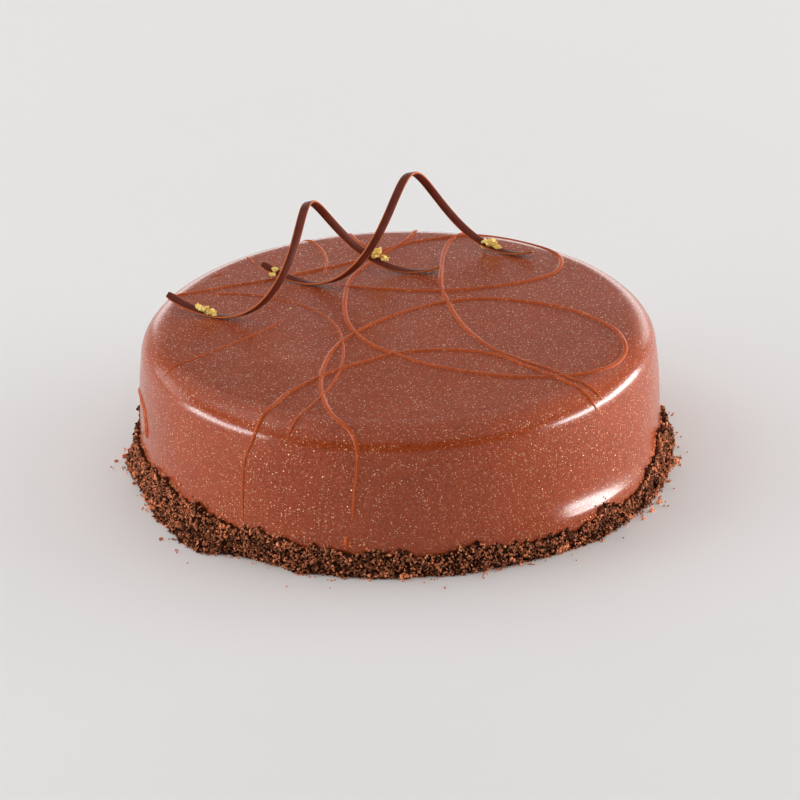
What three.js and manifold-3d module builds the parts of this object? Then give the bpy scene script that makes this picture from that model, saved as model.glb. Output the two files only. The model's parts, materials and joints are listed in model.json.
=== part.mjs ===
// Dark chocolate cake: a round cake under a shiny glaze, with raised drizzled threads,
// a border of cake crumbs round its foot and two chocolate ribbon curls that carry
// scraps of gold leaf.
// Millimetres, +Z up, origin in the middle of the flat underside, front towards -Y.
// Angles round the cake are degrees from +X towards +Y.

import * as THREE from 'three';
import { mergeVertices } from 'three/addons/utils/BufferGeometryUtils.js';
import Module from 'manifold-3d';

const wasm = await Module();
wasm.setup();

// ---- Driving dimensions ----------------------------------------------------------

// The cake is set in an 18 cm ring, and its glaze thickens as it runs down the side.
const CAKE_HEIGHT = 53.4;
const TOP_RADIUS = 80.3; // the flat part of the top
const SHOULDER_RADIUS = 10; // the round edge between top and side
const GLAZE_SAG = 1.4; // how far the side swells below the shoulder
const SAG_SHARPNESS = 5; // the swelling comes within a short way of the shoulder
const FOOT_HEIGHT = 12; // below this the side draws in behind the crumbs
const FOOT_INSET = 3;
const SIDE_HEIGHTS = [FOOT_HEIGHT, 26, 34, 40];
const SHOULDER_STEPS = 6;
const ROUND_STEPS = 96;

// Two touching pieces keep this gap.
const GAP = 0.3;

// Threads: round-backed ridges, sunk a little way into the glaze.
const THREAD_WIDTH = 1.9;
const THREAD_HEIGHT = 0.85;
const THREAD_ROOT = 0.6;
const THREAD_CREST = 0.25; // its sides are upright up to this share of its height
const THREAD_TAPER = 3.5; // length over which a thread's end thins
const THREAD_TIP = 0.35; // how thick its very end still is, as a share
const THREAD_LONGEST_STEP = 9;
const THREAD_SHARPEST_STEP = 14; // degrees turned between two sections
const THREAD_END_STEP = 1.5; // sections are this close where an end thins
const THREAD_SAMPLE = 1;
const DROP_WIDTH = 2.6;
const DROP_HEIGHT = 1.3;

// Crumbs: a thin uneven bank with single crumbs on it.
const BANK_INNER_RADIUS = 84; // inside the cake's foot, before the foot is cut out
const BANK_SKIN = 1.15; // the bank's thickness where it clings to the side
const BANK_TRIM = 0.7; // the bank stays this much inside the crumbs' outline
const BANK_STEPS = 96;
const BANK_ROUGHNESS = 0.9; // how far its outline is knocked in and out
const BANK_SINK = 1; // it is built this far below the floor and cut off there
const BANK_LOW = 0.22; // the heaped foot is upright up to this share of the height
const BANK_MIDDLE = 0.5; // the heap leans in up to this share of the height
const BANK_LEAN = 0.6; // how much of the way to the side it leans in by there
const CRUMB_COUNT = 150;
const CRUMB_SMALLEST = 0.8; // half across
const CRUMB_LARGEST = 1.8;
const CRUMB_KNOBBLY = 1.25; // crumbs over this size have more sides
const CRUMB_FAVOUR = 1.5; // above 1, most crumbs are small
const CRUMB_FLATNESS = 0.8;
const BANK_SEED = 5;
const CRUMB_SEED = 41;
const FLOOR_CUT = 20;
const FLOOR_WIDTH = 300;

// Crumbs and scraps of leaf are knocked in and out to between these shares of a ball.
const KNOCKED_IN = 0.75;
const KNOCKED_OUT = 1.15;

// Ribbons of the curls.
const RIBBON_WIDTH = 3;
const RIBBON_THICKNESS = 0.9;
const RIBBON_STEP = 6; // degrees of turn between two sections
const RIBBON_TIP = 0.7; // width left at a ribbon's end, as a share
const RIBBON_TIP_TURN = 6; // degrees of turn over which the end narrows

const LEAF_SEED = 7;

const FINISHES = {
  glaze: { color: 0x4a1f16, roughness: 0.2 },
  crumb: { color: 0x35190f, roughness: 0.9 },
  ribbon: { color: 0x3c1c13, roughness: 0.45 },
};

// ---- Small helpers ---------------------------------------------------------------

const UP = new THREE.Vector3(0, 0, 1);
const radians = THREE.MathUtils.degToRad;
const lerp = THREE.MathUtils.lerp;

// A repeatable source of random numbers between 0 and 1.
function randomSource(seed) {
  let state = seed;
  return () => {
    state = (state + 0x6d2b79f5) | 0;
    let mixed = Math.imul(state ^ (state >>> 15), 1 | state);
    mixed = (mixed + Math.imul(mixed ^ (mixed >>> 7), 61 | mixed)) ^ mixed;
    return ((mixed ^ (mixed >>> 14)) >>> 0) / 4294967296;
  };
}

// A closed geometry as a solid that can be joined and cut.
function toSolid(geometry) {
  const bare = new THREE.BufferGeometry();
  bare.setAttribute('position', geometry.attributes.position);
  if (geometry.index) bare.setIndex(geometry.index);
  const merged = mergeVertices(bare, 1e-4);
  const corners = [];
  const index = merged.index.array;
  for (let i = 0; i < index.length; i += 3) {
    const [a, b, c] = [index[i], index[i + 1], index[i + 2]];
    if (a !== b && b !== c && c !== a) corners.push(a, b, c);
  }
  const mesh = new wasm.Mesh({
    numProp: 3,
    vertProperties: new Float32Array(merged.attributes.position.array),
    triVerts: new Uint32Array(corners),
  });
  return new wasm.Manifold(mesh);
}

function toGeometry(solid) {
  const mesh = solid.getMesh();
  const geometry = new THREE.BufferGeometry();
  geometry.setAttribute('position', new THREE.BufferAttribute(mesh.vertProperties, 3));
  geometry.setIndex(new THREE.BufferAttribute(mesh.triVerts, 1));
  geometry.computeVertexNormals();
  return geometry;
}

function joined(solids) {
  return solids.reduce((whole, piece) => whole.add(piece));
}

// The largest of a solid's separate parts: cutting can leave a loose scrap.
function largestPart(solid) {
  const parts = solid.decompose();
  return parts.reduce((best, part) => (part.volume() > best.volume() ? part : best));
}

// A closed skin over a row of rings with the same number of points. The rings run
// anticlockwise when looked at from the last towards the first. Its two ends are
// capped by fans, unless the last ring meets the first again.
function skinOver(rings, meets = false) {
  const size = rings[0].length;
  const positions = rings.flat().flatMap((point) => point.toArray());
  const index = [];
  const rows = meets ? rings.length : rings.length - 1;
  for (let row = 0; row < rows; row += 1) {
    const after = (row + 1) % rings.length;
    for (let column = 0; column < size; column += 1) {
      const next = (column + 1) % size;
      const [a, b] = [row * size + column, row * size + next];
      const [c, d] = [after * size + column, after * size + next];
      index.push(a, b, d, a, d, c);
    }
  }
  const last = (rings.length - 1) * size;
  for (let column = 1; !meets && column + 1 < size; column += 1) {
    index.push(0, column + 1, column);
    index.push(last, last + column, last + column + 1);
  }
  return indexedGeometry(positions, index);
}

function indexedGeometry(positions, index) {
  const geometry = new THREE.BufferGeometry();
  geometry.setAttribute('position', new THREE.Float32BufferAttribute(positions, 3));
  geometry.setIndex(index);
  return geometry;
}

// ---- Cake body -------------------------------------------------------------------

const SIDE_TOP = CAKE_HEIGHT - SHOULDER_RADIUS;

// Radius of the side at a height.
function sideRadius(height) {
  const swelling = GLAZE_SAG * (1 - (height / SIDE_TOP) ** SAG_SHARPNESS);
  const inset = FOOT_INSET * Math.max(0, 1 - height / FOOT_HEIGHT);
  return TOP_RADIUS + SHOULDER_RADIUS + swelling - inset;
}

// The body turned from its profile, grown by a clearance. A grown body also reaches
// below the floor, so that it cuts right through what stands round the cake.
function turnedBody(clearance) {
  const floor = clearance > 0 ? -FLOOR_CUT : 0;
  const profile = [new THREE.Vector2(0, floor)];
  profile.push(new THREE.Vector2(sideRadius(0) + clearance, floor));
  if (clearance > 0) profile.push(new THREE.Vector2(sideRadius(0) + clearance, 0));
  for (const height of SIDE_HEIGHTS) {
    profile.push(new THREE.Vector2(sideRadius(height) + clearance, height));
  }
  for (let step = 0; step <= SHOULDER_STEPS; step += 1) {
    const turn = (Math.PI / 2) * (step / SHOULDER_STEPS);
    const reach = SHOULDER_RADIUS + clearance;
    const radius = TOP_RADIUS + reach * Math.cos(turn);
    profile.push(new THREE.Vector2(radius, SIDE_TOP + reach * Math.sin(turn)));
  }
  profile.push(new THREE.Vector2(0, CAKE_HEIGHT + clearance));
  return toSolid(new THREE.LatheGeometry(profile, ROUND_STEPS).rotateX(Math.PI / 2));
}

// ---- Threads of drizzle ----------------------------------------------------------

const SHOULDER_LENGTH = (SHOULDER_RADIUS * Math.PI) / 2;

// The threads are laid out on a flat map of the glaze: the distance from its middle
// runs along the top, over the shoulder and down the side. A map point is a place on
// the top, or an angle and a height on the side.
const onTop = (x, y) => new THREE.Vector3(x, y, 0);

function onSide(angle, height) {
  const run = TOP_RADIUS + SHOULDER_LENGTH + SIDE_TOP - height;
  return new THREE.Vector3(run * Math.cos(radians(angle)), run * Math.sin(radians(angle)), 0);
}

// The place on the glaze, and the way it faces, of a map point.
function glazeAt(mapPoint) {
  const run = Math.hypot(mapPoint.x, mapPoint.y);
  const outward = new THREE.Vector3(mapPoint.x, mapPoint.y, 0).normalize();
  const past = Math.max(0, run - TOP_RADIUS);
  const turn = Math.min(past / SHOULDER_RADIUS, Math.PI / 2);
  const fall = Math.max(0, past - SHOULDER_LENGTH);
  const height = SIDE_TOP + SHOULDER_RADIUS * Math.cos(turn) - fall;
  const edge = Math.min(run, TOP_RADIUS) + SHOULDER_RADIUS * Math.sin(turn);
  const radius = fall > 0 ? sideRadius(height) : edge;
  const normal = outward.clone().multiplyScalar(Math.sin(turn));
  normal.addScaledVector(UP, Math.cos(turn));
  return { place: outward.multiplyScalar(radius).setZ(height), normal };
}

// Sections along a thread, closer together where it bends on the map or over the
// shoulder.
function threadStations(route) {
  const curve = new THREE.CatmullRomCurve3(route);
  const samples = Math.max(4, Math.round(curve.getLength() / THREAD_SAMPLE));
  const track = curve.getSpacedPoints(samples).map(glazeAt);
  const stations = [];
  let travelled = 0;
  let since = 0;
  let heading = null;
  track.forEach((spot, i) => {
    const ahead = track[Math.min(i + 1, track.length - 1)].place;
    const behind = track[Math.max(i - 1, 0)].place;
    const tangent = ahead.clone().sub(behind).normalize();
    const step = i > 0 ? spot.place.distanceTo(behind) : 0;
    travelled += step;
    since += step;
    const turned = heading ? THREE.MathUtils.radToDeg(tangent.angleTo(heading)) : 0;
    const due = since > THREAD_LONGEST_STEP || turned > THREAD_SHARPEST_STEP;
    const nearEnd = i < THREAD_TAPER || i > samples - THREAD_TAPER;
    if (i === 0 || i === samples || due || (nearEnd && since > THREAD_END_STEP)) {
      stations.push({ ...spot, tangent, travelled });
      since = 0;
      heading = tangent;
    }
  });
  return stations;
}

function threadSolid({ route, scale = 1 }) {
  const stations = threadStations(route);
  const total = stations.at(-1).travelled;
  const half = (THREAD_WIDTH * scale) / 2;
  const top = THREAD_HEIGHT * scale;
  const edge = top * THREAD_CREST;
  const section = [[-half, -THREAD_ROOT], [half, -THREAD_ROOT], [half, edge], [0, top],
    [-half, edge]];
  const rings = stations.map(({ place, normal, tangent, travelled }) => {
    const fromEnd = Math.min(travelled, total - travelled);
    const size = lerp(THREAD_TIP, 1, Math.min(1, fromEnd / THREAD_TAPER));
    const across = new THREE.Vector3().crossVectors(normal, tangent).normalize();
    return section.map(([side, up]) => {
      const rise = up > 0 ? up * size : up;
      return place.clone().addScaledVector(across, side * size).addScaledVector(normal, rise);
    });
  });
  return toSolid(skinOver(rings));
}

// A drop of glaze that hangs at a thread's end.
function dropSolid(mapPoint) {
  const { place, normal } = glazeAt(mapPoint);
  const drop = new THREE.IcosahedronGeometry(1, 1);
  drop.scale(DROP_WIDTH / 2, DROP_WIDTH / 2, DROP_HEIGHT);
  const turn = new THREE.Quaternion().setFromUnitVectors(UP, normal);
  drop.applyQuaternion(turn).translate(place.x, place.y, place.z);
  return toSolid(drop);
}

// Every thread. The wide loop crosses itself,
// so it comes as two threads that run into each other at its right end.
const THREADS = [
  { // wide loop: up the front, over the middle and round to the right
    route: [onSide(-100.3, 21), onSide(-99.7, 32), onSide(-99, 43), onTop(-15.5, -87.5),
      onTop(-22, -77.5), onTop(-25, -66), onTop(-26.5, -50), onTop(-24.5, -32.5),
      onTop(-21.5, -22), onTop(-16.5, -12.5), onTop(-6.5, -0.5), onTop(5, 9),
      onTop(17.5, 15.3), onTop(30, 17), onTop(42, 14.5), onTop(53, 10), onTop(62.5, 4),
      onTop(70, -4.8), onTop(75.2, -13), onTop(77.5, -22.5), onTop(77.7, -27)],
  },
  { // wide loop: back along the front, to the middle and off over the rear edge
    route: [onTop(76.9, -18.5), onTop(77.7, -24.5), onTop(77.3, -31.5), onTop(74, -39.5),
      onTop(69, -45), onTop(61, -49.3), onTop(48, -50.5), onTop(35, -49),
      onTop(20.5, -43.8), onTop(8, -37.3), onTop(0, -30), onTop(-6.5, -24),
      onTop(-12.5, -15.6), onTop(-17.3, -2.4), onTop(-18.7, 10), onTop(-18.4, 25),
      onTop(-16.5, 38), onTop(-8, 56), onTop(1, 69), onTop(5, 76), onTop(8.5, 88)],
  },
  { // front sweep: up the left front, across and down the right shoulder
    route: [onSide(-125.5, 14), onSide(-125.3, 28), onSide(-124.5, 38), onTop(-50.5, -79),
      onTop(-42.5, -69.5), onTop(-38, -60), onTop(-30, -49.8), onTop(-22, -42),
      onTop(-12, -34.8), onTop(-0.6, -28.6), onTop(12, -26.4), onTop(24, -27.9),
      onTop(34, -32.1), onTop(42, -40.2), onTop(52.8, -51), onTop(59, -58.5),
      onTop(68.5, -64.2)],
  },
  { // right sweep: from the rear edge forward to the right shoulder
    route: [onTop(27, 85), onTop(24, 78.5), onTop(20.5, 73.5), onTop(17.4, 61),
      onTop(16.1, 45), onTop(15.7, 30), onTop(17.1, 19.2), onTop(19.5, 6),
      onTop(22.2, -4.8), onTop(26.5, -15.6), onTop(32.4, -26.4), onTop(39.6, -34.6),
      onTop(49.2, -43), onTop(55.8, -50.4), onTop(60, -55), onTop(69.5, -59.6)],
  },
  { // back loop: from the left, round the rear shoulder and back under the right curl
    route: [onTop(-82, 26), onTop(-69, 30), onTop(-58.8, 34.5), onTop(-48, 38),
      onTop(-36, 43.5), onTop(-23.4, 49.8), onTop(-15.6, 54), onTop(-4.8, 64),
      onTop(6.6, 71.4), onTop(19.8, 75.6), onTop(30, 76.7), onTop(39, 75),
      onTop(48, 69.5), onTop(55, 62.3), onTop(58.7, 55.5), onTop(59.7, 48.6),
      onTop(57, 39.6), onTop(50.4, 33.9), onTop(40, 29.5), onTop(28.8, 26.7),
      onTop(15.6, 25.3), onTop(2, 26.5), onTop(-12, 29.4), onTop(-20.5, 32.2)],
  },
  { // middle fall: a thinner thread from the left to the front shoulder
    scale: 0.65,
    route: [onTop(-66.5, 27.4), onTop(-52, 25.6), onTop(-43, 21.3), onTop(-35.5, 16.5),
      onTop(-30, 11), onTop(-25, 3.5), onTop(-20.7, -7.2), onTop(-19.2, -20),
      onTop(-19.2, -34), onTop(-21.5, -48.5), onTop(-25, -59.5), onTop(-29, -68.5),
      onTop(-33, -76), onTop(-38, -83.5)],
  },
  { // left sweep
    scale: 0.6,
    route: [onTop(-81, -36.5), onTop(-77, -34), onTop(-69.6, -28.2), onTop(-60, -19.5),
      onTop(-51, -10.8), onTop(-44.4, -3.6), onTop(-40.3, 4)],
  },
  { // rear arc
    scale: 0.8,
    route: [onTop(-35, 78), onTop(-30.9, 73.8), onTop(-27.3, 65), onTop(-25.5, 54),
      onTop(-26.5, 41)],
  },
  { scale: 0.8, route: [onTop(-18, 84), onTop(-15, 75), onTop(-10, 67)] }, // rear stub
  { scale: 0.6, route: [onTop(-55, 61.5), onTop(-51.6, 54.6)] },
  { scale: 0.6, route: [onTop(-67, 43), onTop(-62.5, 46.5)] },
  { // hook on the left side, which ends in a hanging drop
    route: [onSide(170, 15), onSide(177, 26), onSide(188, 33), onSide(195, 31),
      onSide(196.5, 24)],
  },
];
const DROPS = [onSide(196.4, 24.5), onSide(-101, 13)];

function cakeBody() {
  const threads = THREADS.map(threadSolid);
  return joined([turnedBody(0), ...threads, ...DROPS.map(dropSolid)]);
}

// ---- Border of crumbs ------------------------------------------------------------

// The border's outline: angle, outer radius and height. It is scraped thin at the
// left front, heaped at the left and climbs up the side at the right.
const BORDER = [
  [-180, 98, 15], [-166, 94.7, 16], [-151, 95.5, 16], [-136, 98.8, 14], [-126, 92.6, 12],
  [-117, 92.6, 13], [-108, 93.5, 10], [-95, 93.5, 11.5], [-85, 93.3, 8.5],
  [-76, 93.4, 11], [-62, 93.2, 9], [-51, 94.6, 9], [-44, 95.8, 12.5], [-34, 95.2, 8.5],
  [-23, 95.6, 14], [-13, 95.9, 19], [-4, 96.6, 17], [8, 99, 14], [30, 96, 12],
  [55, 95, 14], [80, 96.5, 11], [105, 95, 13], [130, 97.5, 12], [155, 96, 14],
  [180, 98, 15],
];

function borderAt(angle) {
  const wrapped = THREE.MathUtils.euclideanModulo(angle + 180, 360) - 180;
  const next = Math.max(1, BORDER.findIndex(([start]) => start >= wrapped));
  const [low, high] = [BORDER[next - 1], BORDER[next]];
  const share = THREE.MathUtils.smoothstep(wrapped, low[0], high[0]);
  return { radius: lerp(low[1], high[1], share), height: lerp(low[2], high[2], share) };
}

// Points up the outer face of the border at an angle: a heaped foot with a thin layer
// of crumbs clinging above it.
function borderFace(angle, trim) {
  const { radius, height } = borderAt(angle);
  const clinging = (level) => sideRadius(level) + GAP + BANK_SKIN;
  const foot = radius - trim;
  const rise = height - trim;
  const middle = rise * BANK_MIDDLE;
  return [[foot, 0], [foot, rise * BANK_LOW],
    [lerp(foot, clinging(middle), BANK_LEAN), middle], [clinging(rise), rise]];
}

function bankSolid() {
  const random = randomSource(BANK_SEED);
  const rings = [];
  for (let step = 0; step < BANK_STEPS; step += 1) {
    const angle = 180 - (360 * step) / BANK_STEPS;
    const face = borderFace(angle, BANK_TRIM).map(([radius, z], level) => {
      const knock = BANK_ROUGHNESS * (random() - 0.5);
      const lift = level > 0 ? BANK_ROUGHNESS * (random() - 0.5) : 0;
      return [radius + knock, z + lift];
    });
    const outline = [[BANK_INNER_RADIUS, -BANK_SINK], [face[0][0], -BANK_SINK], ...face,
      [BANK_INNER_RADIUS, face.at(-1)[1]]];
    const out = new THREE.Vector3(Math.cos(radians(angle)), Math.sin(radians(angle)), 0);
    rings.push(outline.map(([radius, z]) => out.clone().multiplyScalar(radius).setZ(z)));
  }
  return toSolid(skinOver(rings, true));
}

// A knobbly lump with few sides, turned at random unless its directions are given.
function lumpSolid(centre, halfSizes, random, directions = null) {
  const knobbly = Math.max(...halfSizes) > CRUMB_KNOBBLY;
  const ball = knobbly ? new THREE.IcosahedronGeometry(1) : new THREE.OctahedronGeometry(1);
  const lump = mergeVertices(ball.deleteAttribute('normal').deleteAttribute('uv'));
  const position = lump.attributes.position;
  const point = new THREE.Vector3();
  for (let i = 0; i < position.count; i += 1) {
    const knock = lerp(KNOCKED_IN, KNOCKED_OUT, random());
    point.fromBufferAttribute(position, i).multiplyScalar(knock);
    position.setXYZ(i, ...point.multiply(new THREE.Vector3(...halfSizes)).toArray());
  }
  const [x, y, z] = [random(), random(), random()].map((share) => 2 * Math.PI * share);
  const place = new THREE.Matrix4();
  if (directions) place.makeBasis(...directions);
  else place.makeRotationFromEuler(new THREE.Euler(x, y, z));
  return toSolid(lump.applyMatrix4(place.setPosition(centre)));
}

// Crumbs spread evenly round the border and at random up its face.
function crumbSolids() {
  const random = randomSource(CRUMB_SEED);
  const crumbs = [];
  for (let i = 0; i < CRUMB_COUNT; i += 1) {
    const angle = (360 * (i + random())) / CRUMB_COUNT - 180;
    const size = lerp(CRUMB_SMALLEST, CRUMB_LARGEST, random() ** CRUMB_FAVOUR);
    const face = borderFace(angle, size * KNOCKED_IN);
    const level = random() * (face.length - 1);
    const low = Math.min(Math.floor(level), face.length - 2);
    const [from, to] = [face[low], face[low + 1]];
    const radius = lerp(from[0], to[0], level - low);
    const z = Math.max(lerp(from[1], to[1], level - low), size * KNOCKED_IN);
    const out = new THREE.Vector3(Math.cos(radians(angle)), Math.sin(radians(angle)), 0);
    const halfSizes = [size, size, size * CRUMB_FLATNESS];
    crumbs.push(lumpSolid(out.multiplyScalar(radius).setZ(z), halfSizes, random));
  }
  return crumbs;
}

function crumbBorder() {
  const floor = new THREE.BoxGeometry(FLOOR_WIDTH, FLOOR_WIDTH, FLOOR_CUT);
  floor.translate(0, 0, -FLOOR_CUT / 2);
  const heap = joined([bankSolid(), ...crumbSolids()]);
  return largestPart(heap.subtract(turnedBody(GAP)).subtract(toSolid(floor)));
}

// ---- Ribbon curls ----------------------------------------------------------------

// A curl is a ribbon wound once and a bit round a lying winding, which widens along
// it: it rises on the near side and comes down on the far side. Angles along it are
// zero where its first foot stands, 180 at its peak and 360 at its second foot.
const CURLS = {
  curl_left: { middle: [-31.4, 22.3], bearing: 27.5, depth: 14, rise: 17, narrowing: 0.74,
    pitch: 69.3, spread: 0.144, drift: 0.3, start: -51, end: 386 },
  curl_right: { middle: [4.3, 45.4], bearing: 17.7, depth: 14.2, rise: 17.6, narrowing: 0,
    pitch: 67.1, spread: 0.163, drift: 0, start: -46, end: 385 },
};

// Crumpled scraps of gold leaf: the angle along the curl, the shift across the ribbon,
// the lift above its middle, and half sizes along the ribbon, across it and up.
const LEAVES = {
  curl_left: [
    [-16, 0, 1.1, 2.2, 1.3, 2.0], [-7, 0, 1.0, 2.2, 1.2, 1.3], [-2, 0.7, 0.5, 0.9, 0.9, 0.6],
    [320, 0, 1.3, 1.6, 1.3, 2.3], [325, 0, 3.3, 1.1, 1.0, 1.3], [331, 0, 2.1, 1.3, 1.1, 1.7],
  ],
  curl_right: [
    [-33, 0, 0.8, 1.6, 1.2, 0.9], [-33, 1.7, -0.6, 1.2, 1.1, 1.0],
    [337, 0, 0.4, 2.6, 1.6, 2.0], [347, 0, 1.0, 1.4, 1.1, 1.2],
  ],
};

// The ribbon's middle and directions at an angle along the curl.
function curlFrame(curl, angle) {
  const place = (degrees) => {
    const turn = radians(degrees);
    const past = turn - Math.PI;
    const bearing = radians(curl.bearing);
    const along = (curl.pitch * past) / (2 * Math.PI) + curl.spread * past ** 3
      + curl.drift * past ** 2;
    const near = (curl.depth - curl.narrowing * past) * Math.sin(turn);
    const lowest = CAKE_HEIGHT + GAP + RIBBON_THICKNESS / 2;
    return new THREE.Vector3(
      curl.middle[0] + along * Math.cos(bearing) + near * Math.sin(bearing),
      curl.middle[1] + along * Math.sin(bearing) - near * Math.cos(bearing),
      lowest + curl.rise * (1 - Math.cos(turn)),
    );
  };
  const middle = place(angle);
  const tangent = place(angle + 1).sub(place(angle - 1)).normalize();
  const bearing = radians(curl.bearing);
  const turn = radians(angle);
  const outward = new THREE.Vector3(
    (Math.sin(bearing) * Math.sin(turn)) / curl.depth,
    (-Math.cos(bearing) * Math.sin(turn)) / curl.depth,
    -Math.cos(turn) / curl.rise,
  ).normalize();
  const across = new THREE.Vector3().crossVectors(outward, tangent).normalize();
  return { middle, across, outward: new THREE.Vector3().crossVectors(tangent, across) };
}

function ribbonSolid(curl) {
  const count = Math.round((curl.end - curl.start) / RIBBON_STEP);
  const rings = [];
  for (let step = 0; step <= count; step += 1) {
    const angle = lerp(curl.start, curl.end, step / count);
    const fromEnd = Math.min(angle - curl.start, curl.end - angle);
    const share = lerp(RIBBON_TIP, 1, Math.sqrt(Math.min(1, fromEnd / RIBBON_TIP_TURN)));
    const { middle, across, outward } = curlFrame(curl, angle);
    const half = (RIBBON_WIDTH * share) / 2;
    const thin = RIBBON_THICKNESS / 2;
    const corners = [[-half, -thin], [half, -thin], [half, thin], [-half, thin]];
    rings.push(corners.map(([side, out]) => middle.clone()
      .addScaledVector(across, side).addScaledVector(outward, out)));
  }
  return toSolid(skinOver(rings));
}

function leafSolid(curl, [angle, shift, lift, ...halfSizes], random) {
  const { middle, across } = curlFrame(curl, angle);
  const sideways = across.clone().setZ(0).normalize();
  const along = new THREE.Vector3().crossVectors(sideways, UP);
  const centre = middle.clone().addScaledVector(sideways, shift).addScaledVector(UP, lift);
  return lumpSolid(centre, halfSizes, random, [along, sideways, UP]);
}

function curlSolid(name) {
  const random = randomSource(LEAF_SEED);
  const curl = CURLS[name];
  const leaves = LEAVES[name].map((leaf) => leafSolid(curl, leaf, random));
  return largestPart(joined([ribbonSolid(curl), ...leaves]));
}

// ---- The cake --------------------------------------------------------------------

function addPiece(group, name, solid, finish) {
  const mesh = new THREE.Mesh(toGeometry(solid), new THREE.MeshStandardMaterial(finish));
  mesh.name = name;
  group.add(mesh);
}

function buildCake() {
  const cake = new THREE.Group();
  addPiece(cake, 'cake_body', cakeBody(), FINISHES.glaze);
  addPiece(cake, 'crumb_border', crumbBorder(), FINISHES.crumb);
  for (const name of Object.keys(CURLS)) {
    addPiece(cake, name, curlSolid(name), FINISHES.ribbon);
  }
  return cake;
}

export default buildCake();
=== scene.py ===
"""Dark chocolate cake: shimmering glaze, raised drizzle, crumb border, curls and gold leaf.

Sizes are in millimetres and angles in degrees from +X towards +Y, as in the part's
source. Meshes are written in metres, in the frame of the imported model.
"""

from __future__ import annotations

import json
import logging
import math
import random
from dataclasses import dataclass, field
from enum import Enum

import bmesh
import bpy
from mathutils import Matrix, Vector, noise

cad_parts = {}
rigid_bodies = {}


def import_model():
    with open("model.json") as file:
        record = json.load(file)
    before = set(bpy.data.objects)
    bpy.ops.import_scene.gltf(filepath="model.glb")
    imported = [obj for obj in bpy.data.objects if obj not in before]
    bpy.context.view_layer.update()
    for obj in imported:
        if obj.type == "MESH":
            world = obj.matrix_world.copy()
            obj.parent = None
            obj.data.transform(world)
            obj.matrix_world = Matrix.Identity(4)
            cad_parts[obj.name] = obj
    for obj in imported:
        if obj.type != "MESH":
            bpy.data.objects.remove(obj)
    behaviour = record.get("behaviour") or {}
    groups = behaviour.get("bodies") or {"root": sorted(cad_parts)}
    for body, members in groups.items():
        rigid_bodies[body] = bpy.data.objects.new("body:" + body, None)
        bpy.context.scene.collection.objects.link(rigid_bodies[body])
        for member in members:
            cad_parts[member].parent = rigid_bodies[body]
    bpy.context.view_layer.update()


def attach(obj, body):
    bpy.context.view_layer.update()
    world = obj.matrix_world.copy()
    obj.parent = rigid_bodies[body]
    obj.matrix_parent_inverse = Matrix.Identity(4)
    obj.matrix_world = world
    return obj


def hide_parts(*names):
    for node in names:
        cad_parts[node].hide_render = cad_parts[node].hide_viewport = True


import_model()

LOG = logging.getLogger("cake")
MM = 0.001
UP = Vector((0.0, 0.0, 1.0))
BODY = "root"
MOST_TRIANGLES = 200_000

Colour = tuple[float, float, float, float]
Triple = tuple[float, float, float]
Range = tuple[float, float]
MapPoint = tuple[float, float]
Socket = bpy.types.NodeSocket


class Slot(Enum):
    """The record's material slots."""

    GLAZE = "glaze"
    CRUMB = "crumb"
    RIBBON = "ribbon"


# ---- Numbers, meshes and nodes -----------------------------------------------------


def lerp(low: float, high: float, share: float) -> float:
    """The value that lies a share of the way from low to high."""
    return low + (high - low) * share


def smoothstep(low: float, high: float, value: float) -> float:
    """Rises smoothly from 0 at low to 1 at high."""
    share = min(1.0, max(0.0, (value - low) / (high - low)))
    return share * share * (3 - 2 * share)


def outward_at(angle: float) -> Vector:
    """The level direction away from the cake's axis at an angle."""
    return Vector((math.cos(math.radians(angle)), math.sin(math.radians(angle)), 0.0))


def mesh_object(
    name: str,
    points: list[Vector],
    faces: list[tuple[int, ...]],
    edges: list[tuple[int, int]] | None = None,
) -> bpy.types.Object:
    """Makes an object at the origin from points in millimetres.

    Args:
        name: The object's name.
        points: Its corners, in millimetres.
        faces: Corner numbers of each face.
        edges: Loose edges, for a path without faces.

    Returns:
        The object, linked to the scene.
    """
    mesh = bpy.data.meshes.new(name)
    mesh.from_pydata([point * MM for point in points], edges or [], faces)
    mesh.update()
    piece = bpy.data.objects.new(name, mesh)
    bpy.context.scene.collection.objects.link(piece)
    return piece


def store(piece: bpy.types.Object, name: str, values: list[float] | list[Vector]) -> None:
    """Stores one number or vector for each corner of a mesh.

    Args:
        piece: The object whose mesh takes the values.
        name: The attribute's name.
        values: A value for each corner.
    """
    vectors = isinstance(values[0], Vector)
    kind = "FLOAT_VECTOR" if vectors else "FLOAT"
    attribute = piece.data.attributes.new(name, kind, "POINT")
    if vectors:
        attribute.data.foreach_set("vector", [part for value in values for part in value])
    else:
        attribute.data.foreach_set("value", values)


def triangle_count(piece: bpy.types.Object) -> int:
    """The number of triangles in a piece's mesh."""
    return sum(len(face.vertices) - 2 for face in piece.data.polygons)


def shade(piece: bpy.types.Object, smooth: bool) -> None:
    """Shades a piece smooth or faceted."""
    piece.data.polygons.foreach_set("use_smooth", [smooth] * len(piece.data.polygons))


def turn_faces_out(piece: bpy.types.Object) -> None:
    """Turns the faces of a closed mesh outwards.

    Args:
        piece: The object with that mesh.
    """
    work = bmesh.new()
    work.from_mesh(piece.data)
    bmesh.ops.recalc_face_normals(work, faces=work.faces)
    work.to_mesh(piece.data)
    work.free()


def grid_faces(rows: int, columns: int, closed: bool) -> list[tuple[int, ...]]:
    """Faces of a skin over rows of points.

    Args:
        rows: How many rows there are.
        columns: How many points each row has; the last meets the first again.
        closed: Whether the last row meets the first again too.

    Returns:
        One four-cornered face for each cell.
    """
    faces = []
    for row in range(rows if closed else rows - 1):
        here, there = row * columns, (row + 1) % rows * columns
        for column in range(columns):
            after = (column + 1) % columns
            faces.append((here + column, here + after, there + after, there + column))
    return faces


# Smooth noise lies mostly between these two values.
NOISE_SPAN = (0.3, 0.7)


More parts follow.
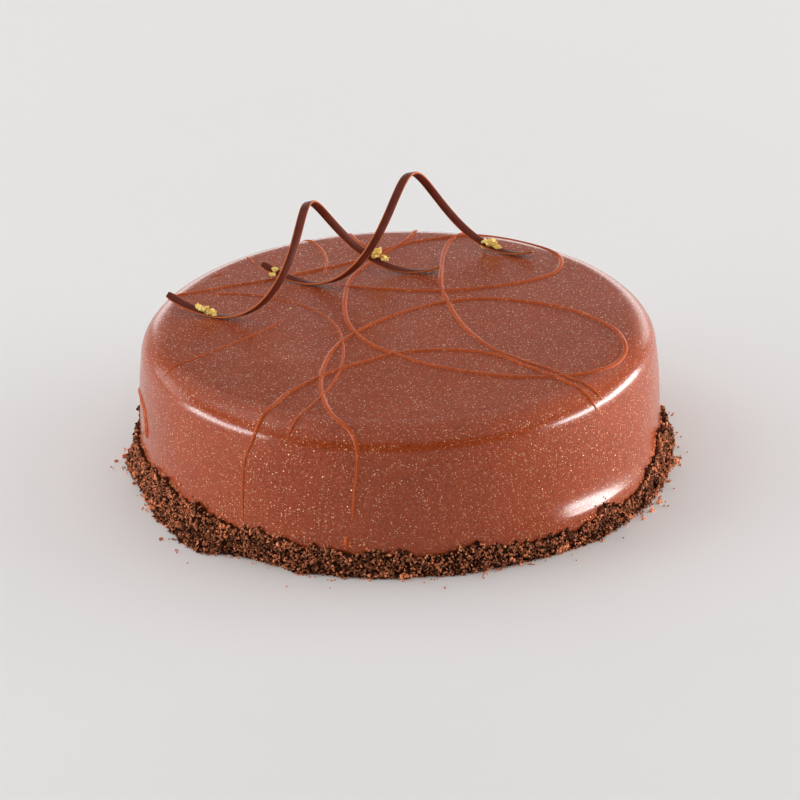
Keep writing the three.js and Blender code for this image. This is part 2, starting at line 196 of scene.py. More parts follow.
class Nodes:
    """Writes a node tree: adds nodes, sets their inputs and joins them."""

    def __init__(self, tree: bpy.types.NodeTree) -> None:
        """Keeps the tree to write in."""
        self.tree = tree

    def feed(self, node: bpy.types.Node, inputs: dict) -> None:
        """Sets inputs of a node.

        Args:
            node: The node.
            inputs: For each input's name or number, a value or the output that feeds it.
        """
        for name, value in inputs.items():
            if isinstance(name, int):
                socket = node.inputs[name]
            else:
                socket = next(s for s in node.inputs if s.enabled and s.name == name)
            if isinstance(value, bpy.types.NodeSocket):
                self.tree.links.new(value, socket)
            else:
                socket.default_value = value

    def add(self, kind: str, inputs: dict | None = None, **settings: object) -> bpy.types.Node:
        """Adds a node.

        Args:
            kind: The node's type name.
            inputs: What feed() takes.
            settings: The node's own options.

        Returns:
            The node.
        """
        node = self.tree.nodes.new(kind)
        for name, value in settings.items():
            setattr(node, name, value)
        self.feed(node, inputs or {})
        return node

    def out(self, kind: str, inputs: dict | None = None, **settings: object) -> Socket:
        """Adds a node and returns its first output that is in use."""
        node = self.add(kind, inputs, **settings)
        return next(socket for socket in node.outputs if socket.enabled)

    def math(self, operation: str, *values: object) -> Socket:
        """Adds a Math node and returns its result."""
        return self.out("ShaderNodeMath", dict(enumerate(values)), operation=operation)

    def vector(self, operation: str, *values: object) -> Socket:
        """Adds a Vector Math node and returns its vector."""
        return self.out("ShaderNodeVectorMath", dict(enumerate(values)), operation=operation)

    def scaled(self, vector: object, factor: object) -> Socket:
        """Multiplies a vector by a number."""
        inputs = {0: vector, "Scale": factor}
        return self.out("ShaderNodeVectorMath", inputs, operation="SCALE")

    def blend(self, share: object, low: object, high: object) -> Socket:
        """Mixes two colours and returns the result."""
        inputs = {"Factor": share, "A": low, "B": high}
        return self.out("ShaderNodeMix", inputs, data_type="RGBA")

    def ramp(
        self, value: object, start: float, end: float, low: float = 0.0, high: float = 1.0
    ) -> Socket:
        """Maps a value from low..high onto start..end, held at both ends."""
        inputs = {"Value": value, "From Min": low, "From Max": high}
        return self.out("ShaderNodeMapRange", inputs | {"To Min": start, "To Max": end})

    def noise(
        self, place: object, scale: float, detail: float = 2.0, roughness: float = 0.5
    ) -> Socket:
        """Adds smooth noise and returns it."""
        inputs = {"Vector": place, "Scale": scale, "Detail": detail, "Roughness": roughness}
        return self.out("ShaderNodeTexNoise", inputs)

    def bump(self, height: object, depth: float) -> Socket:
        """Turns a height into a relief of a depth in millimetres and returns its normal."""
        return self.out("ShaderNodeBump", {"Height": height, "Distance": depth * MM})

    def effect(self, group: bpy.types.NodeTree, values: dict) -> bpy.types.NodeOutputs:
        """Places a shader group on the object's own coordinates and returns its outputs."""
        place = self.add("ShaderNodeTexCoord").outputs["Object"]
        return self.add("ShaderNodeGroup", {"Vector": place} | values, node_tree=group).outputs

    def own(self, name: str) -> Socket:
        """Reads an attribute of the mesh in a material."""
        return self.add("ShaderNodeAttribute", attribute_name=name).outputs["Fac"]

    def stored(self, name: str, data_type: str = "FLOAT") -> Socket:
        """Reads an attribute of the mesh in a geometry tree."""
        return self.out("GeometryNodeInputNamedAttribute", {"Name": name}, data_type=data_type)

    def drawn(self, seed: object, low: object, high: object, data_type: str = "FLOAT") -> Socket:
        """Draws a value between two ends in a geometry tree."""
        inputs = {"Min": low, "Max": high, "Seed": seed}
        return self.out("FunctionNodeRandomValue", inputs, data_type=data_type)

    def dressed(self, geometry: object, finish: object) -> Socket:
        """Makes a geometry real and gives it a material."""
        real = self.out("GeometryNodeRealizeInstances", {"Geometry": geometry})
        return self.out("GeometryNodeSetMaterial", {"Geometry": real, "Material": finish})


def new_tree(
    name: str, kind: str, inputs: dict[str, tuple], outputs: dict[str, str]
) -> tuple[Nodes, bpy.types.Node, bpy.types.Node]:
    """Makes a node group with named inputs and outputs.

    Args:
        name: The group's name.
        kind: "ShaderNodeTree" or "GeometryNodeTree".
        inputs: For each input, its socket type and its value, or the type alone.
        outputs: For each output, its socket type.

    Returns:
        A writer for the tree, its input node and its output node.
    """
    tree = bpy.data.node_groups.new(name, kind)
    for label, (socket_type, *value) in inputs.items():
        socket = tree.interface.new_socket(label, in_out="INPUT", socket_type=socket_type)
        if value:
            socket.default_value = value[0]
    for label, socket_type in outputs.items():
        tree.interface.new_socket(label, in_out="OUTPUT", socket_type=socket_type)
    nodes = Nodes(tree)
    return nodes, nodes.add("NodeGroupInput"), nodes.add("NodeGroupOutput")


def grow(
    piece: bpy.types.Object, tree: bpy.types.NodeTree, values: dict[str, object]
) -> bpy.types.Object:
    """Replaces an object's mesh by what a geometry tree makes of it.

    Args:
        piece: The object whose mesh goes into the tree.
        tree: The geometry node tree.
        values: A value for each of the tree's named inputs.

    Returns:
        The same object with a plain mesh and no modifier.
    """
    modifier = piece.modifiers.new("grow", "NODES")
    modifier.node_group = tree
    for item in tree.interface.items_tree:
        if item.in_out == "INPUT" and item.name in values:
            modifier[item.identifier] = values[item.name]
    graph = bpy.context.evaluated_depsgraph_get()
    grown = bpy.data.meshes.new_from_object(piece.evaluated_get(graph), depsgraph=graph)
    piece.modifiers.clear()
    seed = piece.data
    piece.data = grown
    bpy.data.meshes.remove(seed)
    grown.name = piece.name
    return piece


def discard(piece: bpy.types.Object) -> None:
    """Removes a helper object and its mesh."""
    mesh = piece.data
    bpy.data.objects.remove(piece)
    bpy.data.meshes.remove(mesh)


def hand_over(piece: bpy.types.Object, slot: Slot, *nodes: str) -> None:
    """Ties a finished piece to the frame and logs it.

    Args:
        piece: The finished piece.
        slot: The material slot that it takes its finish from; not used.
        nodes: The nodes of the frame that it stands for.
    """
    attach(piece, BODY)
    if nodes:
        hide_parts(*nodes)
    count = triangle_count(piece)
    LOG.info("%s: %d triangles, stands for %s", piece.name, count, ", ".join(nodes) or "-")
    if count > MOST_TRIANGLES:
        LOG.warning("%s has more than %d triangles", piece.name, MOST_TRIANGLES)


# ---- Finishes ----------------------------------------------------------------------


def new_material(name: str) -> tuple[bpy.types.Material, Nodes, bpy.types.Node]:
    """Makes a material.

    Args:
        name: Its name.

    Returns:
        The material, a writer for its nodes and its Principled shader.
    """
    material = bpy.data.materials.new(name)
    material.use_nodes = True
    nodes = Nodes(material.node_tree)
    return material, nodes, material.node_tree.nodes["Principled BSDF"]


@dataclass(frozen=True)
class Shimmer:
    """The effect of fine metallic dust in a glaze: bright specks on a fine grain.

    A speck's brightness is a random number to the power of the contrast, and its soft
    rim is a share of its size. Pairs are the two ends of a range.
    """

    patches_per_mm: float = 0.045
    patch_detail: float = 4.0
    patch_roughness: float = 0.6
    clusters_per_mm: float = 0.35
    cluster_span: Range = (0.35, 0.65)
    cluster_share: Range = (0.25, 1.4)
    speck_sizes: Range = (1.25, 0.7)
    soft_rim: float = 0.45
    contrast: float = 2.2
    faintest: float = 0.02

    def group(self) -> bpy.types.NodeTree:
        """Builds the effect.

        Returns:
            A group that puts out a mask of the specks, the way that each one tilts, a
            fine grain and a slow patchiness between 0 and 1.
        """
        labels = ("Speck Spacing", "Speck Size", "Speck Share", "Speck Tilt", "Grain Size")
        inputs = {"Vector": ("NodeSocketVector",)}
        inputs |= dict.fromkeys(labels, ("NodeSocketFloat",))
        outputs = dict.fromkeys(("Speck", "Grain", "Patch"), "NodeSocketFloat")
        outputs["Tilt"] = "NodeSocketVector"
        nodes, given, result = new_tree("shimmer", "ShaderNodeTree", inputs, outputs)
        place, spacing, size, share, tilt, grain_size = list(given.outputs)[:len(inputs)]
        in_mm = nodes.scaled(place, 1 / MM)
        spaced = nodes.scaled(in_mm, nodes.math("DIVIDE", 1.0, spacing))
        cells = nodes.add("ShaderNodeTexVoronoi", {"Vector": spaced, "Scale": 1.0}).outputs
        drawn = nodes.add("ShaderNodeSeparateColor", {"Color": cells["Color"]}).outputs
        size = nodes.math("DIVIDE", size, spacing)
        size = nodes.math("MULTIPLY", size, nodes.ramp(drawn["Red"], *self.speck_sizes))
        near = nodes.math("SUBTRACT", 1.0, nodes.math("DIVIDE", cells["Distance"], size))
        dot = nodes.ramp(near, 0.0, 1.0, 0.0, self.soft_rim)
        cluster = nodes.noise(in_mm, self.clusters_per_mm)
        cluster = nodes.ramp(cluster, *self.cluster_share, *self.cluster_span)
        lit = nodes.math("LESS_THAN", drawn["Red"], nodes.math("MULTIPLY", share, cluster))
        strength = nodes.math("POWER", drawn["Green"], self.contrast)
        strength = nodes.ramp(strength, self.faintest, 1.0)
        mask = nodes.math("MULTIPLY", nodes.math("MULTIPLY", dot, lit), strength)
        either_way = nodes.vector("SUBTRACT", cells["Color"], (0.5, 0.5, 0.5))
        patch = nodes.noise(in_mm, self.patches_per_mm, self.patch_detail, self.patch_roughness)
        finely = nodes.scaled(in_mm, nodes.math("DIVIDE", 1.0, grain_size))
        nodes.feed(result, {
            "Speck": mask,
            "Grain": nodes.noise(finely, 1.0),
            "Patch": nodes.ramp(patch, 0.0, 1.0, *NOISE_SPAN),
            "Tilt": nodes.scaled(either_way, nodes.math("MULTIPLY", mask, tilt)),
        })
        return nodes.tree


@dataclass(frozen=True)
class Mottle:
    """The uneven tone and fine relief of chocolate, crumbs and leaf."""

    tone_detail: float = 3.0
    tone_span: Range = (0.2, 0.8)
    relief_scale: float = 5.0

    def group(self) -> bpy.types.NodeTree:
        """Builds the effect.

        Returns:
            A group that puts out a tone between 0 and 1 and a height.
        """
        inputs = {
            "Vector": ("NodeSocketVector",),
            "Size": ("NodeSocketFloat", 1.0),
            "Contrast": ("NodeSocketFloat", 1.0),
        }
        outputs = dict.fromkeys(("Tone", "Height"), "NodeSocketFloat")
        nodes, given, result = new_tree("mottle", "ShaderNodeTree", inputs, outputs)
        per_metre = nodes.math("DIVIDE", 1 / MM, given.outputs["Size"])
        place = nodes.scaled(given.outputs["Vector"], per_metre)
        spread = nodes.math("SUBTRACT", nodes.noise(place, 1.0, self.tone_detail), 0.5)
        spread = nodes.math("MULTIPLY", spread, given.outputs["Contrast"])
        tone = nodes.ramp(nodes.math("ADD", spread, 0.5), 0.0, 1.0, *self.tone_span)
        nodes.feed(result, {"Tone": tone, "Height": nodes.noise(place, self.relief_scale)})
        return nodes.tree


@dataclass(frozen=True)
class GlazeFinish:
    """Satin dark glaze with bronze dust in it."""

    name: str
    deep: Colour = (0.255, 0.036, 0.006, 1.0)
    warm: Colour = (0.345, 0.053, 0.011, 1.0)
    speck: Colour = (1.0, 0.62, 0.35, 1.0)
    roughness: float = 0.42
    smoothest: float = 0.04
    roughest: float = 0.05
    gloss: float = 0.05
    speck_share: float = 0.95
    speck_spacing: float = 0.62
    speck_size: float = 0.22
    speck_tilt: float = 1.1
    speck_gloss: float = 0.35
    speck_polish: float = 0.16
    grain_size: float = 0.45
    grain_tone: float = 0.5
    grain_shade: float = 0.4
    grain_depth: float = 0.02
    coat: float = 0.75
    coat_roughness: float = 0.2

    def material(self, shimmer: bpy.types.NodeTree) -> bpy.types.Material:
        """Builds the material.

        Args:
            shimmer: The group that makes the specks and the grain.

        Returns:
            The finished material.
        """
        material, nodes, shader = new_material(self.name)
        effect = nodes.effect(shimmer, {
            "Speck Spacing": self.speck_spacing,
            "Speck Size": self.speck_size,
            "Speck Share": self.speck_share,
            "Speck Tilt": self.speck_tilt,
            "Grain Size": self.grain_size,
        })
        speck, grain = effect["Speck"], effect["Grain"]

        def by_grain(start: float, end: float) -> Socket:
            """A value that runs from start to end with the grain."""
            return nodes.ramp(grain, start, end, *NOISE_SPAN)

        tone = nodes.math("ADD", effect["Patch"], by_grain(-self.grain_tone, self.grain_tone))
        share = nodes.ramp(tone, 0.0, 1.0, -self.grain_tone, 1.0 + self.grain_tone)
        shading = by_grain(1.0 - self.grain_shade, 1.0 + self.grain_shade)
        body = nodes.scaled(nodes.blend(share, self.deep, self.warm), shading)
        tilted = nodes.vector("ADD", nodes.bump(grain, self.grain_depth), effect["Tilt"])
        roughness = by_grain(self.roughness - self.smoothest, self.roughness + self.roughest)
        polished = nodes.math("MULTIPLY", speck, self.speck_polish)
        nodes.feed(shader, {
            "Base Color": nodes.blend(speck, body, self.speck),
            "Metallic": nodes.ramp(speck, 0.0, self.speck_gloss),
            "Roughness": nodes.math("SUBTRACT", roughness, polished),
            "Normal": nodes.vector("NORMALIZE", tilted),
            "Specular IOR Level": self.gloss,
            "Coat Weight": self.coat,
            "Coat Roughness": self.coat_roughness,
        })
        return material


@dataclass(frozen=True)
class CrumbFinish:
    """Dry dark cake crumbs, each with its own tone, shaded within it, with painted light and shade
    in clump-sized patches.
    """

    name: str = "dry_crumb"
    # The darkest crumbs' colour; on the bank it is painted shade in the gaps between the crumbs.
    dark: Colour = (0.022, 0.0035, 0.001, 1.0)
    light: Colour = (1.0, 0.36, 0.17, 1.0)
    mottle_size: float = 0.5
    mottle_shade: Range = (0.35, 1.0)
    # Clump-sized patches lighter and darker: painted light and shade like that between clumps.
    clump_size: float = 4.5
    clump_contrast: float = 2.2
    clump_painted_shade: Range = (0.75, 1.75)
    grain_depth: float = 0.08
    roughness: Range = (0.85, 0.6)
    gloss: float = 0.1

    def material(self, mottle: bpy.types.NodeTree) -> bpy.types.Material:
        """Builds the material.

        Args:
            mottle: The group that makes the uneven tone.

        Returns:
            The finished material.
        """
        material, nodes, shader = new_material(self.name)
        own = nodes.own("tone")
        effect = nodes.effect(mottle, {"Size": self.mottle_size})
        clumps = nodes.effect(mottle, {"Size": self.clump_size, "Contrast": self.clump_contrast})
        share = nodes.math("MULTIPLY", own, nodes.ramp(effect["Tone"], *self.mottle_shade))
        # Painted light and shade in clump-sized patches.
        share = nodes.math("MULTIPLY", share, nodes.ramp(clumps["Tone"], *self.clump_painted_shade))
        nodes.feed(shader, {
            "Base Color": nodes.blend(share, self.dark, self.light),
            "Roughness": nodes.ramp(own, *self.roughness),
            "Normal": nodes.bump(effect["Height"], self.grain_depth),
            "Specular IOR Level": self.gloss,
        })
        return material


@dataclass(frozen=True)
class RibbonFinish:
    """Tempered chocolate: dark faces, and thin edges painted warm and bright as a painted glow of
    light through them.
    """

    name: str = "tempered_ribbon"
    face: Colour = (0.09, 0.014, 0.007, 1.0)
    bloom: Colour = (0.15, 0.03, 0.015, 1.0)
    # The edge colour is a painted glow of light that shines through the thin edges.
    edge: Colour = (0.52, 0.13, 0.032, 1.0)
    edge_span: Range = (0.25, 0.85)
    edge_glow_tone: Range = (0.75, 1.0)
    roughness: Range = (0.45, 0.57)
    gloss: float = 0.14
    mottle_size: float = 3.0
    grain_depth: float = 0.05

    def material(self, mottle: bpy.types.NodeTree) -> bpy.types.Material:
        """Builds the material.

        Args:
            mottle: The group that makes the uneven tone.

        Returns:
            The finished material.
        """
        material, nodes, shader = new_material(self.name)
        effect = nodes.effect(mottle, {"Size": self.mottle_size})
        tone = effect["Tone"]
        face = nodes.blend(tone, self.face, self.bloom)
        rim = nodes.ramp(nodes.own("edge"), 0.0, 1.0, *self.edge_span)
        # Painted glow of light through the thin edges, dimmer where the tone is low.
        edge_glow = nodes.math("MULTIPLY", rim, nodes.ramp(tone, *self.edge_glow_tone))
        nodes.feed(shader, {
            "Base Color": nodes.blend(edge_glow, face, self.edge),
            "Roughness": nodes.ramp(tone, *self.roughness),
            "Normal": nodes.bump(effect["Height"], self.grain_depth),
            "Specular IOR Level": self.gloss,
        })
        return material


@dataclass(frozen=True)
class GoldFinish:
    """Crumpled gold leaf."""

    name: str = "gold_leaf"
    bright: Colour = (1.0, 0.88, 0.34, 1.0)
    tarnished: Colour = (1.0, 0.66, 0.1, 1.0)
    metal: float = 0.2
    gloss: float = 1.0
    roughness: Range = (0.45, 0.3)
    mottle_size: float = 0.8
    grain_depth: float = 0.1

    def material(self, mottle: bpy.types.NodeTree) -> bpy.types.Material:
        """Builds the material.

        Args:
            mottle: The group that makes the uneven tone.

        Returns:
            The finished material.
        """
        material, nodes, shader = new_material(self.name)
        effect = nodes.effect(mottle, {"Size": self.mottle_size})
        nodes.feed(shader, {
            "Base Color": nodes.blend(effect["Tone"], self.tarnished, self.bright),
            "Roughness": nodes.ramp(effect["Tone"], *self.roughness),
            "Normal": nodes.bump(effect["Height"], self.grain_depth),
            "Metallic": self.metal,
            "Specular IOR Level": self.gloss,
        })
        return material


# ---- Glazed body -------------------------------------------------------------------


@dataclass(frozen=True)
class GlazedBody:
    """The cake under its glaze, with a round shoulder and a pooled foot."""

    cake_height: float = 53.4
    top_radius: float = 80.3
    shoulder_radius: float = 10.0
    sag: float = 1.4
    sag_sharpness: int = 5
    foot_height: float = 12.0
    foot_inset: float = 3.0
    pool: float = 3.3
    pool_height: float = 9.0
    pool_spread: float = 6.8
    pool_angle: float = -45.0
    pool_reach: float = 24.0
    pool_elsewhere: float = 0.8
    ripple: float = 0.12
    ripple_length: float = 22.0
    columns: int = 384
    top_step: float = 2.4
    shoulder_steps: int = 18
    side_step: float = 1.2

    @property
    def side_top(self) -> float:
        """Height at which the side meets the shoulder."""
        return self.cake_height - self.shoulder_radius

    @property
    def shoulder_length(self) -> float:
        """Length of the shoulder's quarter circle."""
        return self.shoulder_radius * math.pi / 2

    def side_radius(self, height: float) -> float:
        """Radius of the side at a height."""
        swelling = self.sag * (1 - (height / self.side_top) ** self.sag_sharpness)
        inset = self.foot_inset * max(0.0, 1 - height / self.foot_height)
        return self.top_radius + self.shoulder_radius + swelling - inset

    def pooled(self, height: float, angle: float) -> float:
        """How far the glaze that ran down stands out near the foot, most at one side.

        Args:
            height: The height on the side.
            angle: The angle round the cake.

        Returns:
            The distance.
        """
        reach = (height - self.pool_height) / self.pool_spread
        aside = ((angle - self.pool_angle + 180) % 360 - 180) / self.pool_reach
        depth = lerp(self.pool_elsewhere, self.pool, math.exp(-aside * aside))
        return depth * math.exp(-reach * reach)

    def spot(self, run: float, angle: float) -> tuple[Vector, Vector]:
        """A place on the glaze.

        Args:
            run: The distance from the middle along the top, over the shoulder and down.
            angle: The angle round the cake.

        Returns:
            The place and the way that the glaze faces there.
        """
        past = max(0.0, run - self.top_radius)
        turn = min(past / self.shoulder_radius, math.pi / 2)
        fall = max(0.0, past - self.shoulder_length)
        height = self.side_top + self.shoulder_radius * math.cos(turn) - fall
        radius = min(run, self.top_radius) + self.shoulder_radius * math.sin(turn)
        if fall > 0:
            radius = self.side_radius(height) + self.pooled(height, angle)
        outward = outward_at(angle)
        facing = outward * math.sin(turn) + UP * math.cos(turn)
        place = outward * radius + UP * height
        lift = self.ripple * noise.noise(place / self.ripple_length)
        return place + facing * lift, facing

    def on_map(self, point: MapPoint) -> tuple[Vector, Vector]:
        """The place and facing of a point of the flat map of the glaze."""
        x, y = point
        return self.spot(math.hypot(x, y), math.degrees(math.atan2(y, x)))

    def on_side(self, angle: float, height: float) -> MapPoint:
        """The map point of an angle and a height on the side."""
        run = self.top_radius + self.shoulder_length + self.side_top - height
        outward = outward_at(angle)
        return run * outward.x, run * outward.y

    def runs(self) -> list[float]:
        """Where the skin has a ring of corners.

        Returns:
            Distances from the middle along the top, over the shoulder and down.
        """
        top_rings = round(self.top_radius / self.top_step)
        side_rings = round(self.side_top / self.side_step)
        runs = [self.top_radius * ring / top_rings for ring in range(1, top_rings + 1)]
        over = self.shoulder_length / self.shoulder_steps
        runs += [runs[-1] + over * step for step in range(1, self.shoulder_steps + 1)]
        down = self.side_top / side_rings
        return runs + [runs[-1] + down * step for step in range(1, side_rings + 1)]

    def build(self, finish: bpy.types.Material) -> bpy.types.Object:
        """Builds the body.

        Args:
            finish: The glaze.

        Returns:
            The piece, a closed skin with a flat underside.
        """
        points = []
        for run in self.runs():
            for column in range(self.columns):
                angle = 360 * column / self.columns
                points.append(self.spot(run, angle)[0])
        for point in points[-self.columns:]:
            point.z = 0.0
        faces = grid_faces(len(points) // self.columns, self.columns, closed=False)
        points += [UP * self.cake_height, Vector((0.0, 0.0, 0.0))]
        crown, base = len(points) - 2, len(points) - 1
        last = crown - self.columns
        for column in range(self.columns):
            after = (column + 1) % self.columns
            faces.append((crown, after, column))
            faces.append((base, last + column, last + after))
        piece = mesh_object("glazed_body", points, faces)
        turn_faces_out(piece)
        shade(piece, smooth=True)
        piece.data.materials.append(finish)
        hand_over(piece, Slot.GLAZE, "cake_body")
        return piece


# ---- Sweeping a profile along paths --------------------------------------------------


def centripetal(route: list[MapPoint], step: float) -> list[MapPoint]:
    """A smooth curve through a route's points.

    Args:
        route: Points that the curve passes through.
        step: The distance between the points that come back.

    Returns:
        Points spaced evenly along the curve, its ends among them.
    """
    first = tuple(2 * a - b for a, b in zip(route[0], route[1]))
    last = tuple(2 * a - b for a, b in zip(route[-1], route[-2]))
    points = [Vector(point) for point in (first, *route, last)]
    dense = [points[1]]
    for p0, p1, p2, p3 in zip(points, points[1:], points[2:], points[3:]):
        t0, t1, t2 = (math.sqrt((b - a).length) for a, b in ((p0, p1), (p1, p2), (p2, p3)))
        leave = ((p1 - p0) / t0 - (p2 - p0) / (t0 + t1) + (p2 - p1) / t1) * t1
        arrive = ((p2 - p1) / t1 - (p3 - p1) / (t1 + t2) + (p3 - p2) / t2) * t1
        parts = max(2, math.ceil((p2 - p1).length / (step / 2)))
        for part in range(1, parts + 1):
            t = part / parts
            bend = -3 * p1 + 3 * p2 - 2 * leave - arrive
            twist = 2 * p1 - 2 * p2 + leave + arrive
            dense.append(p1 + leave * t + bend * t * t + twist * t**3)
    lengths = [0.0]
    for before, after in zip(dense, dense[1:]):
        lengths.append(lengths[-1] + (after - before).length)
    count = max(2, round(lengths[-1] / step))
    even, here = [], 0
    for index in range(count + 1):
        wanted = lengths[-1] * index / count
        while here < len(lengths) - 2 and lengths[here + 1] < wanted:
            here += 1
        share = (wanted - lengths[here]) / (lengths[here + 1] - lengths[here])
        even.append(tuple(dense[here].lerp(dense[here + 1], min(1.0, share))))
    return even


def sweep_tree() -> bpy.types.NodeTree:
    """A geometry tree that sweeps a closed profile along paths.

    The paths are the edges of the mesh, whose corners hold "facing", the way that the
    profile's rise points, and "girth", the profile's size there.

    Returns:
        The tree, with the named inputs Profile and Finish.
    """
    inputs = {
        "Paths": ("NodeSocketGeometry",),
        "Profile": ("NodeSocketObject",),
        "Finish": ("NodeSocketMaterial",),
    }
    outputs = {"Skin": "NodeSocketGeometry"}
    nodes, given, result = new_tree("sweep_along_paths", "GeometryNodeTree", inputs, outputs)
    upright_inputs = {
        "Curve": nodes.out("GeometryNodeMeshToCurve", {"Mesh": given.outputs["Paths"]}),
        "Normal": nodes.stored("facing", "FLOAT_VECTOR"),
    }
    upright = nodes.out("GeometryNodeSetCurveNormal", upright_inputs, mode="FREE")
    shape = nodes.add("GeometryNodeObjectInfo", {"Object": given.outputs["Profile"]})
    skin = nodes.out("GeometryNodeCurveToMesh", {
        "Curve": upright,
        "Profile Curve": nodes.out(
            "GeometryNodeMeshToCurve", {"Mesh": shape.outputs["Geometry"]}
        ),
        "Scale": nodes.stored("girth"),
        "Fill Caps": True,
    })
    nodes.feed(result, {"Skin": nodes.dressed(skin, given.outputs["Finish"])})
    return nodes.tree


def profile_object(name: str, outline: list[tuple[float, float]]) -> bpy.types.Object:
    """A closed outline as a helper object.

    Args:
        name: The helper's name.
        outline: Pairs of rise and side, in millimetres.

    Returns:
        An object whose X is the rise and whose Y is the side.
    """
    points = [Vector((rise, side, 0.0)) for rise, side in outline]
    edges = [(i, (i + 1) % len(points)) for i in range(len(points))]
    return mesh_object(name, points, [], edges)


@dataclass
class Path:
    """Points of one path, the way the profile faces there and its size."""

    points: list[Vector] = field(default_factory=list)
    facings: list[Vector] = field(default_factory=list)
    girths: list[float] = field(default_factory=list)

    def add(self, point: Vector, facing: Vector, girth: float) -> None:
        """Adds a point at the path's end."""
        self.points.append(point)
        self.facings.append(facing)
        self.girths.append(girth)


def swept(
    name: str,
    paths: list[Path],
    outline: bpy.types.Object,
    tree: bpy.types.NodeTree,
    finish: bpy.types.Material,
) -> bpy.types.Object:
    """Sweeps a profile along several paths.

    Args:
        name: The new piece's name.
        paths: The paths.
        outline: The profile, which is used up.
        tree: The tree of sweep_tree().
        finish: The piece's material.

    Returns:
        One closed skin for each path, in one mesh.
    """
    points, edges = [], []
    for path in paths:
        start = len(points)
        points += path.points
        edges += [(start + i, start + i + 1) for i in range(len(path.points) - 1)]
    piece = mesh_object(name, points, [], edges)
    store(piece, "facing", [facing for path in paths for facing in path.facings])
    store(piece, "girth", [girth for path in paths for girth in path.girths])
    grow(piece, tree, {"Profile": outline, "Finish": finish})
    discard(outline)
    turn_faces_out(piece)
    shade(piece, smooth=True)
    return piece


# ---- Drizzle -----------------------------------------------------------------------


@dataclass(frozen=True)
class Thread:
    """One thread of drizzle: its route on the flat map of the glaze and its scale."""

    route: list[MapPoint]
    scale: float = 1.0


def thread_routes(glaze: GlazedBody) -> list[Thread]:
    """Every thread of drizzle, as in the part's source.

    Args:
        glaze: The body that they lie on.

    Returns:
        The threads; the wide loop comes as two that run into each other.
    """
    side = glaze.on_side
    return [
        Thread([side(-100.3, 21), side(-99.7, 32), side(-99, 43), (-15.5, -87.5),
                (-22, -77.5), (-25, -66), (-26.5, -50), (-24.5, -32.5), (-21.5, -22),
                (-16.5, -12.5), (-6.5, -0.5), (5, 9), (17.5, 15.3), (30, 17), (42, 14.5),
                (53, 10), (62.5, 4), (70, -4.8), (75.2, -13), (77.5, -22.5),
                (77.7, -27)]),
        Thread([(76.9, -18.5), (77.7, -24.5), (77.3, -31.5), (74, -39.5), (69, -45),
                (61, -49.3), (48, -50.5), (35, -49), (20.5, -43.8), (8, -37.3), (0, -30),
                (-6.5, -24), (-12.5, -15.6), (-17.3, -2.4), (-18.7, 10), (-18.4, 25),
                (-16.5, 38), (-8, 56), (1, 69), (5, 76), (8.5, 88)]),
        Thread([side(-125.5, 14), side(-125.3, 28), side(-124.5, 38), (-50.5, -79),
                (-42.5, -69.5), (-38, -60), (-30, -49.8), (-22, -42), (-12, -34.8),
                (-0.6, -28.6), (12, -26.4), (24, -27.9), (34, -32.1), (42, -40.2),
                (52.8, -51), (59, -58.5), (68.5, -64.2)]),
        Thread([(27, 85), (24, 78.5), (20.5, 73.5), (17.4, 61), (16.1, 45), (15.7, 30),
                (17.1, 19.2), (19.5, 6), (22.2, -4.8), (26.5, -15.6), (32.4, -26.4),
                (39.6, -34.6), (49.2, -43), (55.8, -50.4), (60, -55), (69.5, -59.6)]),
        Thread([(-82, 26), (-69, 30), (-58.8, 34.5), (-48, 38), (-36, 43.5),
                (-23.4, 49.8), (-15.6, 54), (-4.8, 64), (6.6, 71.4), (19.8, 75.6),
                (30, 76.7), (39, 75), (48, 69.5), (55, 62.3), (58.7, 55.5), (59.7, 48.6),
                (57, 39.6), (50.4, 33.9), (40, 29.5), (28.8, 26.7), (15.6, 25.3),
                (2, 26.5), (-12, 29.4), (-20.5, 32.2)]),
        Thread([(-66.5, 27.4), (-52, 25.6), (-43, 21.3), (-35.5, 16.5), (-30, 11),
                (-25, 3.5), (-20.7, -7.2), (-19.2, -20), (-19.2, -34), (-21.5, -48.5),
                (-25, -59.5), (-29, -68.5), (-33, -76), (-38, -83.5)], 0.65),
        Thread([(-81, -36.5), (-77, -34), (-69.6, -28.2), (-60, -19.5), (-51, -10.8),
                (-44.4, -3.6), (-40.3, 4)], 0.6),
        Thread([(-35, 78), (-30.9, 73.8), (-27.3, 65), (-25.5, 54), (-26.5, 41)], 0.8),
        Thread([(-18, 84), (-15, 75), (-10, 67)], 0.8),
        Thread([(-55, 61.5), (-51.6, 54.6)], 0.6),
        Thread([(-67, 43), (-62.5, 46.5)], 0.6),
        Thread([side(170, 15), side(177, 26), side(188, 33), side(195, 31),
                side(196.5, 24)], 2.2),
    ]


